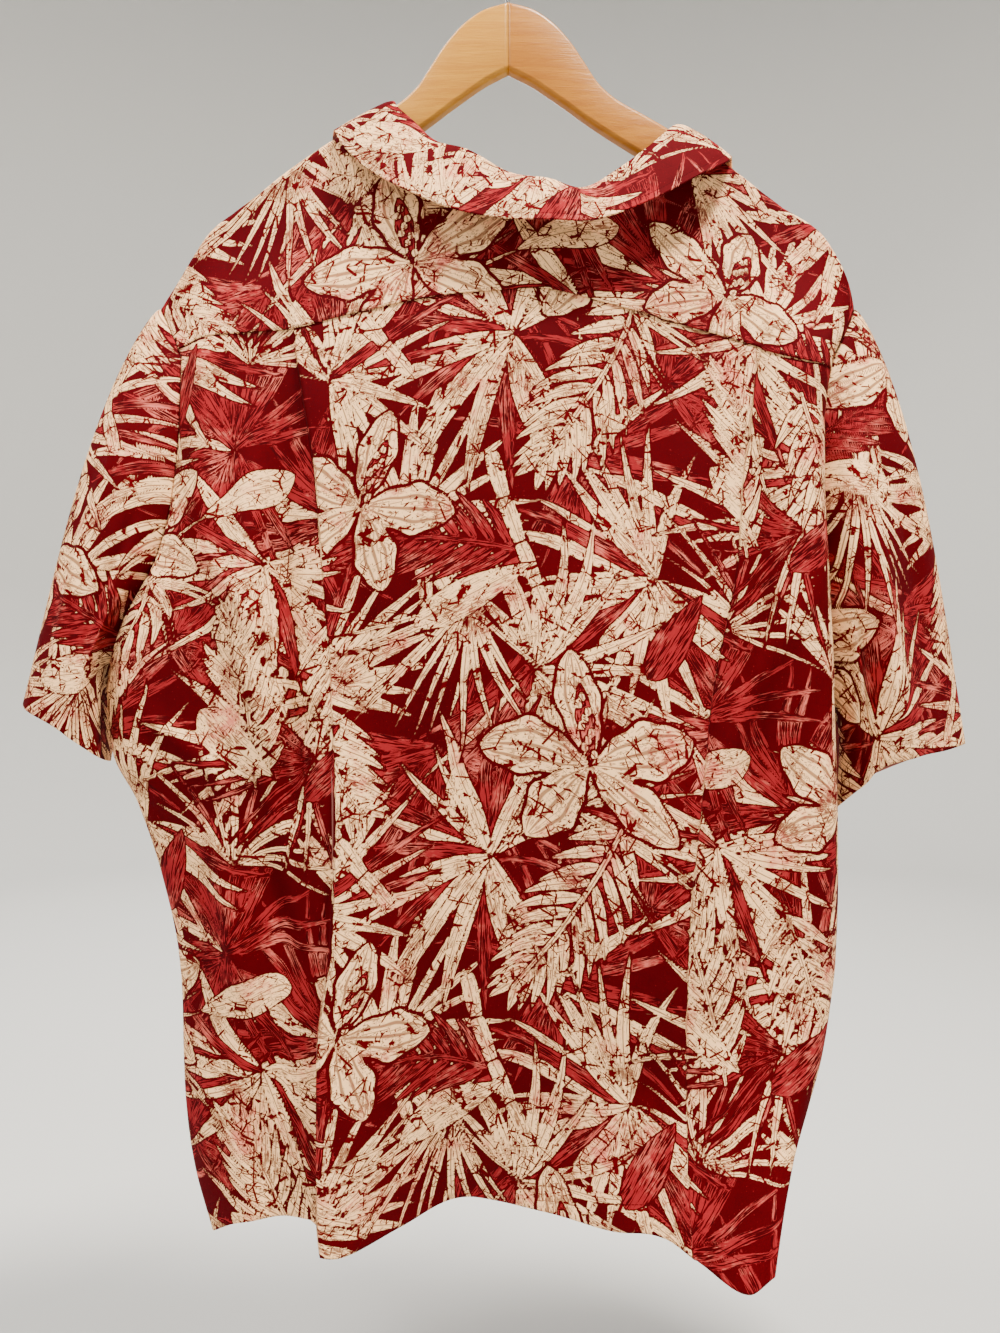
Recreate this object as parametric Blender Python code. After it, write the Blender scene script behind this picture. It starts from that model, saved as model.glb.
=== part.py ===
"""Large short-sleeved camp shirt hanging on a contoured wooden hanger.

Metres, +Z up. The origin is the inside top of the hook, where a rail carries the hanger.
The shirt's back faces -Y, the wearer's right side is at +X. Heights inside the cloth are given
as a drop: how far a point lies below the origin.
"""
import math

import bmesh
import bpy
import numpy as np

# Cloth
WALL = 0.0012            # thickness of every cloth wall
SEAM_GAP = 0.0004        # air between two sewn pieces
SIDE_GAP = 0.0009        # air between the back's and the fronts' rims, which meet at an angle
FOLD_RADIUS = 0.0092     # how wide the cloth lies over the hanger's arms, half
FRONT_LAP = 0.0016       # how far each front stands off their shared middle where they lap
SLEEVE_GAP = 0.0022      # from a body edge's middle to the sleeve's rim
BUTTON_RADIUS = 0.0058
BUTTON_THICK = 0.0024

# Hanger
ARM_REACH = 0.225        # from the middle to an arm's end
ARM_THICK = 0.012
ARM_BEND = 0.032         # how far the arms' ends curve towards the shirt's front
ARM_ROUND = 0.004        # rounding along the wood's edges
TILT = 0.016             # rise of the hanger to the right, per metre
HOOK_WIRE = 0.0035       # wire diameter
HOOK_RADIUS = 0.0205     # middle of the wire's bend


def table(names, *rows):
    """Rows of numbers as a dictionary of named columns."""
    return dict(zip(names.split(), np.array(rows, float).T))


# Wood's top and bottom edges from the middle outwards
WOOD = table(
    "reach  top     bottom",
    (0.000, 0.0641, 0.1180),
    (0.018, 0.0690, 0.1270),
    (0.034, 0.0790, 0.1375),
    (0.048, 0.0935, 0.1470),
    (0.060, 0.1105, 0.1555),
    (0.071, 0.1265, 0.1625),
    (0.086, 0.1390, 0.1715),
    (0.106, 0.1490, 0.1825),
    (0.126, 0.1590, 0.1925),
    (0.150, 0.1720, 0.2045),
    (0.180, 0.1890, 0.2200),
    (0.205, 0.2060, 0.2340),
    (0.225, 0.2260, 0.2460),
)

# Shoulder line of the cloth, left armhole to right armhole
RIDGE = table(
    "x       drop",
    (-0.285, 0.2920),
    (-0.269, 0.2700),
    (-0.256, 0.2490),
    (-0.242, 0.2290),
    (-0.226, 0.2160),
    (-0.205, 0.2040),
    (-0.180, 0.1880),
    (-0.150, 0.1710),
    (-0.126, 0.1585),
    (-0.106, 0.1480),
    (0.106, 0.1440),
    (0.126, 0.1545),
    (0.150, 0.1670),
    (0.180, 0.1835),
    (0.205, 0.1990),
    (0.226, 0.2110),
    (0.254, 0.2290),
    (0.268, 0.2490),
    (0.278, 0.2690),
    (0.285, 0.2920),
)

# Edges of the body: armhole seams above the underarms, side seams below them
SIDES = table(
    "drop   left_x   left_y  right_x  right_y",
    (0.292, -0.2850, 0.034, 0.2850, 0.034),
    (0.312, -0.2740, 0.032, 0.2760, 0.032),
    (0.342, -0.2620, 0.029, 0.2610, 0.029),
    (0.396, -0.2610, 0.025, 0.2525, 0.026),
    (0.452, -0.2655, 0.022, 0.2515, 0.024),
    (0.495, -0.2760, 0.020, 0.2530, 0.022),
    (0.558, -0.3080, 0.017, 0.2560, 0.019),
    (0.600, -0.3200, 0.015, 0.2580, 0.017),
    (0.653, -0.3150, 0.013, 0.2590, 0.014),
    (0.693, -0.2950, 0.012, 0.2600, 0.012),
    (0.753, -0.2750, 0.011, 0.2600, 0.010),
    (0.813, -0.2622, 0.010, 0.2577, 0.008),
    (0.850, -0.2590, 0.009, 0.2510, 0.000),
    (0.885, -0.2580, 0.008, 0.2410, -0.013),
    (0.918, -0.2565, 0.007, 0.2270, -0.028),
    (0.950, -0.2530, 0.005, 0.2120, -0.045),
    (0.980, -0.2470, 0.002, 0.2000, -0.062),
    (1.033, -0.2300, -0.004, 0.1860, -0.079),
)

# Armhole loops: top and bottom, and how far they open to the back and the front
ARMHOLE = {
    "left": {"top": 0.292, "bottom": 0.585, "back": 0.020, "front": 0.034},
    "right": {"top": 0.292, "bottom": 0.605, "back": 0.012, "front": 0.034},
}

# Depth of the back at five places across, left edge to right edge
BACK = table(
    "drop   a       b       c       d       e",
    (0.25, 0.0200, -0.0100, -0.0270, -0.0100, 0.0180),
    (0.35, 0.0040, -0.0240, -0.0350, -0.0220, -0.0060),
    (0.50, -0.010, -0.0330, -0.0370, -0.0340, -0.0200),
    (0.65, -0.014, -0.0370, -0.0350, -0.0400, -0.0240),
    (0.80, -0.010, -0.0340, -0.0310, -0.0400, -0.0240),
    (0.92, -0.010, -0.0280, -0.0220, -0.0380, -0.0440),
    (1.03, -0.012, -0.0260, -0.0080, -0.0440, -0.0840),
)
# Depth of the fronts at the same five places
FRONT = table(
    "drop   a       b       c       d       e",
    (0.25, 0.0450, 0.0520, 0.0600, 0.0520, 0.0450),
    (0.35, 0.0520, 0.0640, 0.0740, 0.0640, 0.0520),
    (0.50, 0.0520, 0.0790, 0.0900, 0.0790, 0.0540),
    (0.65, 0.0470, 0.0850, 0.0950, 0.0850, 0.0520),
    (0.80, 0.0450, 0.0850, 0.0940, 0.0820, 0.0460),
    (0.92, 0.0430, 0.0800, 0.0900, 0.0720, 0.0160),
    (1.03, 0.0380, 0.0760, 0.0820, 0.0500, -0.0360),
)

# The back's two pleats: where the step lies and how deep it is, down the back
PLEATS = table(
    "drop   left_x   left_step  right_x  right_step",
    (0.320, -0.1680, 0.0020, 0.1990, 0.0020),
    (0.386, -0.1560, 0.0050, 0.1870, 0.0050),
    (0.431, -0.1480, 0.0035, 0.1795, 0.0040),
    (0.500, -0.1420, 0.0015, 0.1740, 0.0020),
    (0.600, -0.1340, 0.0015, 0.1540, 0.0025),
    (0.692, -0.1300, 0.0060, 0.1440, 0.0055),
    (0.791, -0.1330, 0.0110, 0.1345, 0.0040),
    (0.877, -0.1430, 0.0180, 0.1330, 0.0020),
    (0.989, -0.1420, 0.0290, 0.1350, 0.0020),
    (1.035, -0.1380, 0.0330, 0.1360, 0.0020),
)

# Largest soft folds of the back: height is towards the viewer behind the shirt
FOLDS = table(
    "top_x   top    low_x    low    height   width",
    (-0.246, 0.300, -0.238, 0.470, 0.0070, 0.016),
    (-0.238, 0.440, -0.180, 0.660, 0.0050, 0.022),
    (-0.215, 0.640, -0.205, 1.060, 0.0070, 0.020),
    (-0.170, 0.560, -0.172, 1.060, -0.0050, 0.018),
    (-0.060, 0.760, -0.050, 1.060, -0.0050, 0.024),
    (0.060, 0.420, 0.085, 1.060, 0.0050, 0.028),
    (0.236, 0.330, 0.232, 0.860, 0.0040, 0.014),
    (0.200, 0.560, 0.185, 1.060, -0.0045, 0.016),
    (0.110, 0.860, 0.105, 1.060, -0.0060, 0.020),
)
# Largest soft folds of the fronts: height is away from the wearer
FRONT_FOLDS = table(
    "top_x   top    low_x    low    height   width",
    (-0.190, 0.420, -0.170, 1.060, 0.0080, 0.024),
    (-0.115, 0.560, -0.105, 1.060, -0.0060, 0.022),
    (-0.240, 0.620, -0.225, 1.060, -0.0040, 0.018),
    (0.080, 0.600, 0.085, 1.060, 0.0070, 0.024),
    (0.165, 0.430, 0.140, 1.060, 0.0080, 0.024),
    (0.215, 0.560, 0.180, 1.060, -0.0060, 0.018),
)

# Lower edges of the back and of the fronts
BACK_HEM = table(
    "across drop",
    (0.000, 1.0280),
    (0.080, 1.0120),
    (0.200, 1.0090),
    (0.222, 1.0165),
    (0.265, 1.0200),
    (0.360, 1.0150),
    (0.500, 0.9990),
    (0.590, 1.0020),
    (0.720, 1.0055),
    (0.820, 1.0080),
    (0.880, 1.0180),
    (0.960, 1.0310),
    (1.000, 1.0200),
)
FRONT_HEM = table(
    "across drop",
    (0.000, 1.0280),
    (0.300, 1.0240),
    (0.500, 1.0220),
    (0.800, 1.0260),
    (1.000, 1.0200),
)
# Seam between the back and the yoke
YOKE_SEAM = table(
    "across drop",
    (0.000, 0.3290),
    (0.070, 0.3230),
    (0.180, 0.3240),
    (0.270, 0.3160),
    (0.440, 0.3020),
    (0.540, 0.2990),
    (0.640, 0.3090),
    (0.780, 0.3270),
    (0.900, 0.3420),
    (1.000, 0.3500),
)
# Seam between the yoke and the fronts
FRONT_SEAM = table(
    "across drop",
    (0.000, 0.3290),
    (0.020, 0.3110),
    (0.050, 0.2860),
    (0.100, 0.2540),
    (0.200, 0.2190),
    (0.304, 0.1870),
    (0.500, 0.1800),
    (0.772, 0.2058),
    (0.850, 0.2330),
    (0.900, 0.2600),
    (0.950, 0.3000),
    (0.980, 0.3290),
    (1.000, 0.3500),
)

# Neckline at the back, between its two points on the shoulder line
NECK_LEFT = -0.112
NECK_RIGHT = 0.155
NECK = table(
    "x       drop",
    (-0.1120, 0.1512),
    (-0.1110, 0.1545),
    (-0.1090, 0.1610),
    (-0.1040, 0.1700),
    (-0.0920, 0.1850),
    (-0.0660, 0.2080),
    (-0.0350, 0.2230),
    (0.0000, 0.2370),
    (0.0300, 0.2400),
    (0.0600, 0.2395),
    (0.0950, 0.2285),
    (0.1280, 0.2060),
    (0.1450, 0.1880),
    (0.1520, 0.1790),
    (0.1540, 0.1730),
    (0.1550, 0.1698),
)
NECK_TURNS = (-0.111, -0.109, -0.104, -0.095, 0.138, 0.145, 0.152, 0.154)

# Front opening: the inner edges of the two fronts, which cross at the top button
OPENING = table(
    "down    left    right",
    (0.000, -0.1120, 0.1550),
    (0.100, -0.0470, 0.0800),
    (0.195, 0.0160, 0.0060),
    (0.225, 0.0240, -0.0120),
    (0.300, 0.0240, -0.0120),
    (1.000, 0.0140, -0.0220),
)
CENTRE = table("drop x", (0.36, 0.006), (1.03, -0.004))
NEAR_EDGE = np.array([0.06, 0.12])   # extra columns beside a front's inner edge
LAPEL_TOP = 0.075        # shares of a front's length where its lapel begins and ends
LAPEL_END = 0.172
LAPEL_SHARE = 0.127      # widest part of a lapel, as a share of the width across
LAPEL_LIFT = 0.0021      # how far it lies off its front, and how much it rolls up between
LAPEL_ROLL = 0.0030
LAP_START = 0.3          # share of the width where the fronts begin to part for their lap
LAP_RAMP = 0.12
BACK_SPAN = (0.32, 1.01)    # drops between which the back's columns follow its pleats
FRONT_SPAN = (0.20, 1.02)   # drops between which a front's edge is read
PLEAT_TOP = 0.29         # drop where the pleats begin to step out, and over what length
PLEAT_FADE = 0.05
PLEAT_EDGE = 0.003       # width of a pleat's step, and of the cloth's fall behind it
PLEAT_FALL = 0.043
ARM_SHAPE_END = 0.13     # distance below the shoulder line where the hanger's shape has gone
EDGE_ROLL = {"left": 0.034, "right": 0.018}   # width over which the body turns in to its edges
SLEEVE_FULL = 0.010      # fullness of a sleeve's middle outwards, upwards and across
SLEEVE_RISE = 0.006
SLEEVE_ROUND = 0.012
SLEEVE_CLEAR = 0.004     # extra air between a sleeve and the body beside it
SLEEVE_EASE = 0.002
BUTTON_DROPS = [0.385 + 0.102 * i for i in range(6)]

# Collar: neck seam, fold and outer edge at each station, left front to right front
COLLAR = table(
    "neck_x neck_y neck_drop fold_x fold_y fold_drop edge_x edge_y edge_drop",
    (-0.067, 0.0640, 0.2330, -0.0560, 0.0740, 0.2180, -0.1180, 0.0860, 0.2900),
    (-0.095, 0.0480, 0.1920, -0.0790, 0.0540, 0.1790, -0.1440, 0.0690, 0.2400),
    (-0.109, 0.0280, 0.1620, -0.0890, 0.0310, 0.1480, -0.1460, 0.0430, 0.1880),
    (-0.1115, 0.0165, 0.1515, -0.0915, 0.0175, 0.1395, -0.1420, 0.0200, 0.1630),
    (-0.1115, 0.0070, 0.1500, -0.0915, 0.0080, 0.1375, -0.1390, 0.0100, 0.1580),
    (-0.1090, -0.0035, 0.1580, -0.0895, -0.0030, 0.1420, -0.1345, -0.0040, 0.1690),
    (-0.101, -0.0060, 0.1720, -0.0860, -0.0090, 0.1500, -0.1280, -0.0130, 0.1830),
    (-0.088, -0.0085, 0.1870, -0.0740, -0.0120, 0.1620, -0.1080, -0.0220, 0.2060),
    (-0.066, -0.0140, 0.2080, -0.0560, -0.0180, 0.1810, -0.0790, -0.0310, 0.2260),
    (-0.035, -0.0210, 0.2230, -0.0310, -0.0240, 0.1910, -0.0450, -0.0390, 0.2440),
    (0.000, -0.0265, 0.2390, 0.0010, -0.0290, 0.2110, -0.0060, -0.0445, 0.2545),
    (0.030, -0.0275, 0.2450, 0.0300, -0.0310, 0.2165, 0.0290, -0.0460, 0.2560),
    (0.060, -0.0265, 0.2500, 0.0570, -0.0300, 0.2230, 0.0650, -0.0450, 0.2555),
    (0.095, -0.0205, 0.2370, 0.0850, -0.0240, 0.2050, 0.1060, -0.0370, 0.2375),
    (0.128, -0.0110, 0.2100, 0.1110, -0.0140, 0.1815, 0.1440, -0.0250, 0.2130),
    (0.146, -0.0030, 0.1880, 0.1270, -0.0045, 0.1640, 0.1680, -0.0120, 0.1960),
    (0.1535, 0.0055, 0.1750, 0.1325, 0.0040, 0.1570, 0.1765, 0.0030, 0.1840),
    (0.1545, 0.0150, 0.1680, 0.1350, 0.0140, 0.1520, 0.1800, 0.0150, 0.1780),
    (0.1545, 0.0245, 0.1715, 0.1345, 0.0245, 0.1565, 0.1840, 0.0290, 0.1860),
    (0.150, 0.0330, 0.1800, 0.1320, 0.0350, 0.1640, 0.1860, 0.0460, 0.2080),
    (0.138, 0.0500, 0.2060, 0.1220, 0.0560, 0.1930, 0.1840, 0.0700, 0.2560),
    (0.112, 0.0650, 0.2440, 0.1000, 0.0750, 0.2300, 0.1620, 0.0870, 0.3020),
)

# Cuffs: points round each sleeve's end, from the outer corner round the back
CUFFS = {
    "left": table(
        "x       y       drop",
        (-0.3940, 0.034, 0.6130),
        (-0.3800, -0.002, 0.6200),
        (-0.3480, -0.020, 0.6330),
        (-0.3300, -0.014, 0.6480),
        (-0.3235, 0.006, 0.6590),
        (-0.3320, 0.046, 0.6640),
        (-0.3560, 0.080, 0.6540),
        (-0.3820, 0.068, 0.6320),
    ),
    "right": table(
        "x       y       drop",
        (0.3790, 0.040, 0.6500),
        (0.3480, 0.006, 0.6530),
        (0.2970, -0.018, 0.6600),
        (0.2800, 0.004, 0.6820),
        (0.2680, 0.024, 0.7000),
        (0.2790, 0.060, 0.7030),
        (0.3100, 0.086, 0.6860),
        (0.3560, 0.074, 0.6640),
    ),
}


# Shape helpers

def soft(q):
    """Smooth step from 0 to 1."""
    q = np.clip(q, 0.0, 1.0)
    return q * q * (3.0 - 2.0 * q)


def mix(a, b, q):
    return a + (b - a) * q


def unit(vector):
    return vector / np.linalg.norm(vector, axis=-1, keepdims=True)


def read(rows, key, name, where):
    """A column's smooth value at a key, with no overshoot between rows."""
    knots, values = rows[key], rows[name]
    span = np.diff(knots)
    rise = np.diff(values) / span
    slope = np.zeros_like(values)
    slope[0], slope[-1] = rise[0], rise[-1]
    same = rise[:-1] * rise[1:] > 0
    total = np.where(same, rise[:-1] + rise[1:], 1.0)
    slope[1:-1] = np.where(same, 2.0 * rise[:-1] * rise[1:] / total, 0.0)
    where = np.clip(where, knots[0], knots[-1])
    i = np.clip(np.searchsorted(knots, where, side="right") - 1, 0, len(knots) - 2)
    q = (where - knots[i]) / span[i]
    start = (1 + 2 * q) * (1 - q) ** 2 * values[i] + q * (1 - q) ** 2 * span[i] * slope[i]
    end = q * q * (3 - 2 * q) * values[i + 1] - q * q * (1 - q) * span[i] * slope[i + 1]
    return start + end


def spline(values, where, closed=False):
    """A smooth curve through evenly numbered values."""
    count = len(values)
    if closed:
        where = np.mod(where, count)
        i = np.floor(where).astype(int)
        before, first, second, after = (values[(i + k) % count] for k in (-1, 0, 1, 2))
    else:
        i = np.clip(np.floor(where).astype(int), 0, count - 2)
        picks = (np.clip(i + k, 0, count - 1) for k in (-1, 0, 1, 2))
        before, first, second, after = (values[p] for p in picks)
    q = where - i
    return 0.5 * (2 * first + (second - before) * q
                  + (2 * before - 5 * first + 4 * second - after) * q ** 2
                  + (3 * first - before - 3 * second + after) * q ** 3)


def columns(*stops):
    """Evenly divided stretches: (start, pieces), ..., end."""
    places = []
    for (start, pieces), after in zip(stops[:-1], stops[1:]):
        end = after[0] if isinstance(after, tuple) else after
        places.extend(np.linspace(start, end, pieces, endpoint=False))
    return np.array(places + [stops[-1]])


# Body surfaces, in (across, drop): across is 0 at the left edge and 1 at the right

def body_x(across, drop):
    left = read(SIDES, "drop", "left_x", drop)
    right = read(SIDES, "drop", "right_x", drop)
    return mix(left, right, across)


def body_across(x, drop):
    left = read(SIDES, "drop", "left_x", drop)
    right = read(SIDES, "drop", "right_x", drop)
    return (x - left) / (right - left)


def sheet_depth(rows, across, drop):
    """Depth of a large soft sheet from its five places across."""
    places = [read(rows, "drop", name, drop) for name in "abcde"]
    i = np.clip((across * 4).astype(int), 0, 3)
    q = across * 4 - i
    stack = np.stack(places)
    pick = [np.take_along_axis(stack, np.clip(i + k, 0, 4)[None], 0)[0] for k in (-1, 0, 1, 2)]
    return 0.5 * (2 * pick[1] + (pick[2] - pick[0]) * q
                  + (2 * pick[0] - 5 * pick[1] + 4 * pick[2] - pick[3]) * q ** 2
                  + (3 * pick[1] - pick[0] - 3 * pick[2] + pick[3]) * q ** 3)


def fold_height(rows, x, drop):
    """Sum of the soft folds that run down a sheet."""
    total = np.zeros_like(x)
    for top_x, top, low_x, low, height, width in zip(*rows.values()):
        down = (drop - top) / (low - top)
        middle = mix(top_x, low_x, down)
        fade = soft(down / 0.25) * soft((1.15 - down) / 0.25)
        total += height * fade * np.exp(-((x - middle) / width) ** 2)
    return total


def pleat_step(x, drop):
    """How far the back's middle stands out over its two pleats."""
    left = read(PLEATS, "drop", "left_x", drop)
    right = read(PLEATS, "drop", "right_x", drop)
    left_q, right_q = x - left, right - x
    left_step = read(PLEATS, "drop", "left_step", drop)
    right_step = read(PLEATS, "drop", "right_step", drop)
    one = left_step * soft(left_q / PLEAT_EDGE + 0.5) * np.exp(-(np.maximum(left_q, 0) / PLEAT_FALL) ** 2)
    two = right_step * soft(right_q / PLEAT_EDGE + 0.5) * np.exp(-(np.maximum(right_q, 0) / PLEAT_FALL) ** 2)
    return one + two


def armhole_open(side, drop):
    """0 at an armhole's top and bottom, 1 at its middle."""
    hole = ARMHOLE[side]
    middle = (hole["top"] + hole["bottom"]) / 2
    half = (hole["bottom"] - hole["top"]) / 2
    return np.sqrt(np.clip(1 - ((drop - middle) / half) ** 2, 0, 1))


def edge_depth(side, drop, face):
    """Depth of the body's edge: an armhole seam above, a side seam below."""
    seam = read(SIDES, "drop", side + "_y", drop)
    reach = ARMHOLE[side]["back" if face < 0 else "front"]
    return seam + face * (SIDE_GAP / 2 + reach * armhole_open(side, drop))


def body_depth(across, drop, face):
    """Depth of the back (face -1) or of the fronts (face +1)."""
    x = body_x(across, drop)
    below = np.maximum(drop - read(RIDGE, "x", "drop", x), 0)
    over = np.minimum(below / FOLD_RADIUS, 1)
    arm = ARM_BEND * np.minimum(np.abs(x) / ARM_REACH, 1) ** 2
    near_arm = arm + face * FOLD_RADIUS * np.sqrt(1 - (1 - over) ** 2)
    if face < 0:
        sheet = sheet_depth(BACK, across, drop) - fold_height(FOLDS, x, drop)
        sheet -= pleat_step(x, drop) * soft((drop - PLEAT_TOP) / PLEAT_FADE)
    else:
        sheet = sheet_depth(FRONT, across, drop) + fold_height(FRONT_FOLDS, x, drop)
    depth = mix(near_arm, sheet, soft(below / ARM_SHAPE_END))
    width = read(SIDES, "drop", "right_x", drop) - read(SIDES, "drop", "left_x", drop)
    for side, distance in (("left", across), ("right", 1 - across)):
        q = np.minimum(distance * width / EDGE_ROLL[side], 1)
        depth = mix(edge_depth(side, drop, face), depth, np.sqrt(1 - (1 - q) ** 2))
    return depth


def body_points(across, drop, face, out=0.0):
    """Points of the back or the fronts, moved outwards by some distance."""
    return np.stack([body_x(across, drop), body_depth(across, drop, face) + face * out, -drop], -1)


# Sewn pieces as grids of points

def back_across(u, t):
    """Places across the back of columns that run along its pleats."""
    middle_drop = mix(*BACK_SPAN, t)
    left = body_across(read(PLEATS, "drop", "left_x", middle_drop), middle_drop)
    right = body_across(read(PLEATS, "drop", "right_x", middle_drop), middle_drop)
    across = np.where(u < 0.25, left * u / 0.25, mix(left, right, (u - 0.25) / 0.5))
    return np.where(u > 0.75, mix(right, 1.0, (u - 0.75) / 0.25), across)


def back_grid(places, downs):
    """The back, from the yoke seam to the hem."""
    u, t = np.meshgrid(places, downs)
    across = back_across(u, t)
    top = read(YOKE_SEAM, "across", "drop", across) + SEAM_GAP
    drop = mix(top, read(BACK_HEM, "across", "drop", across), t)
    return body_points(across, drop, -1)


def ridge_drop(across):
    """Shoulder line's drop at a place across."""
    return read(RIDGE, "x", "drop", body_x(across, np.full_like(across, 0.292)))


def yoke_grid(places, back_rows, front_rows):
    """The yoke, over the shoulders. Cells inside the neck are left out."""
    across = places[None, :]
    ridge = ridge_drop(across)
    x = body_x(across, ridge)
    inside = (x > NECK_LEFT + 1e-4) & (x < NECK_RIGHT - 1e-4)
    top = np.where(inside, read(NECK, "x", "drop", x), ridge)
    seam = read(YOKE_SEAM, "across", "drop", across)
    back = [body_points(across, mix(seam, top, t), -1) for t in back_rows]
    low = read(FRONT_SEAM, "across", "drop", across)
    front = [body_points(across, mix(ridge, low, t), 1) for t in front_rows]
    points = np.concatenate(back + front)
    keep = np.ones((len(points) - 1, len(places) - 1), bool)
    middle = (x[0, :-1] + x[0, 1:]) / 2
    keep[len(back) - 1:, (middle > NECK_LEFT) & (middle < NECK_RIGHT)] = False
    return points, keep


def front_limits(side, t):
    """Places across that a front reaches, at a share of its length."""
    edge = body_across(read(OPENING, "down", side, t), mix(*FRONT_SPAN, t))
    return (np.zeros_like(t), edge) if side == "left" else (edge, np.ones_like(t))


def front_points(side, across, t, out=0.0):
    """Points of a front panel; the wearer's left one laps over the other."""
    top = read(FRONT_SEAM, "across", "drop", across) + 2 * SEAM_GAP
    drop = mix(top, read(FRONT_HEM, "across", "drop", across), t)
    inward = across if side == "left" else 1 - across
    lap = FRONT_LAP * soft((inward - LAP_START) / LAP_RAMP)
    return body_points(across, drop, 1, out + (lap if side == "left" else -lap))


def front_grid(side, places, downs):
    u, t = np.meshgrid(places, downs)
    low, high = front_limits(side, t)
    return front_points(side, mix(low, high, u), t)


def lapel_grid(side, places, downs):
    """The facing that the open neck turns out, lying on its front panel."""
    u, q = np.meshgrid(places, downs)
    t = mix(LAPEL_TOP, LAPEL_END, q)
    low, high = front_limits(side, t)
    width = LAPEL_SHARE * soft((1 - q) / 0.75 + 0.25)
    across = high - u * width if side == "left" else low + u * width
    lift = LAPEL_LIFT + LAPEL_ROLL * np.sin(math.pi * np.minimum(u * 1.15 + 0.02, 1))
    return front_points(side, across, t, lift)


def sleeve_grid(side, turns, downs):
    """A sleeve, from its armhole to its cuff; turn 0 is the shoulder, 0.5 the underarm."""
    sign = -1 if side == "left" else 1
    turn, t = np.meshgrid(turns, downs)
    hole, cuff = ARMHOLE[side], CUFFS[side]
    angle = 2 * math.pi * turn
    middle = (hole["top"] + hole["bottom"]) / 2
    half = (hole["bottom"] - hole["top"]) / 2
    drop = middle - half * np.cos(angle)
    face = np.where(np.sin(angle) < 0, 1.0, -1.0)
    reach = np.where(face < 0, hole["back"], hole["front"])
    start = np.stack([
        read(SIDES, "drop", side + "_x", drop) + sign * SLEEVE_GAP,
        read(SIDES, "drop", side + "_y", drop) + face * reach * np.abs(np.sin(angle)),
        -drop,
    ], -1)
    end = np.stack([spline(cuff["x"], turn * 8, True), spline(cuff["y"], turn * 8, True),
                    -spline(cuff["drop"], turn * 8, True)], -1)
    points = mix(start, end, t[..., None])
    swell = np.sin(math.pi * t ** 0.65)
    top = np.cos(angle) * 0.5 + 0.5
    points[..., 0] += sign * SLEEVE_FULL * (top + 0.6) * swell
    points[..., 2] += SLEEVE_RISE * top * swell
    points[..., 1] += face * np.abs(np.sin(angle)) * SLEEVE_ROUND * swell
    body_edge = read(SIDES, "drop", side + "_x", -points[..., 2])
    clear = SLEEVE_GAP + SLEEVE_CLEAR * soft(t / 0.3)
    past = sign * (points[..., 0] - body_edge) - clear
    points[..., 0] += sign * (np.sqrt(past ** 2 + SLEEVE_EASE ** 2 * soft(t / 0.1)) - past) / 2
    return points


# Across the collar: along the stand, over the fold, along the fall
COLLAR_PROFILE = table(
    "stand  fall   over     down",
    (0.11, 0.00, 0.0000, 0.0000),
    (0.45, 0.00, 0.0000, 0.0000),
    (0.80, 0.00, -0.0006, 0.0000),
    (0.98, 0.00, -0.0017, 0.0010),
    (1.00, 0.00, 0.0000, 0.0000),
    (1.00, 0.03, 0.0018, 0.0012),
    (1.00, 0.16, 0.0030, 0.0000),
    (1.00, 0.42, 0.0034, 0.0000),
    (1.00, 0.72, 0.0022, 0.0000),
    (1.00, 1.00, 0.0000, 0.0000),
)


def collar_grid(stations, steps):
    """The collar: stand and fall in one folded piece round the neck."""
    at, k = np.meshgrid(stations, steps)
    parts = {name: spline(values, at) for name, values in COLLAR.items()}
    neck, fold, edge = (np.stack([parts[p + "_x"], parts[p + "_y"], -parts[p + "_drop"]], -1)
                        for p in ("neck", "fold", "edge"))
    down_stand, down_fall = (unit(end - fold) for end in (neck, edge))
    outward, upward = unit(down_fall - down_stand), -unit(down_fall + down_stand)
    stand, fall, over, down = (spline(COLLAR_PROFILE[n], k)[..., None]
                               for n in ("stand", "fall", "over", "down"))
    return mix(mix(neck, fold, stand), edge, fall) + outward * over - upward * down


# Making the solids

def material(name, colour, roughness, metallic=0.0):
    shade = bpy.data.materials.new(name)
    shade.use_nodes = True
    shader = shade.node_tree.nodes["Principled BSDF"]
    shader.inputs["Base Color"].default_value = (*colour, 1)
    shader.inputs["Roughness"].default_value = roughness
    shader.inputs["Metallic"].default_value = metallic
    return shade


def make_object(name, mesh, shade):
    thing = bpy.data.objects.new(name, mesh)
    bpy.context.collection.objects.link(thing)
    mesh.materials.append(shade)
    mesh.shade_smooth()
    return thing


def cloth(name, points, shade, face, keep=None, closed=False):
    """A wall of cloth from a grid; face is +1 if its outer side lies along its normals."""
    rows, count = points.shape[:2]
    mesh = bpy.data.meshes.new(name)
    across = count if closed else count - 1
    quads = []
    for j in range(rows - 1):
        for i in range(across):
            if keep is not None and not keep[j, i]:
                continue
            after = (i + 1) % count
            quad = (j * count + i, j * count + after, (j + 1) * count + after, (j + 1) * count + i)
            quads.append(quad if face > 0 else quad[::-1])
    mesh.from_pydata(points.reshape(-1, 3).tolist(), [], quads)
    work = bmesh.new()
    work.from_mesh(mesh)
    bmesh.ops.delete(work, geom=[v for v in work.verts if not v.link_faces], context="VERTS")
    work.to_mesh(mesh)
    work.free()
    thing = make_object(name, mesh, shade)
    wall = thing.modifiers.new("Wall", "SOLIDIFY")
    wall.thickness = WALL
    wall.offset = 0
    return thing


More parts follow.
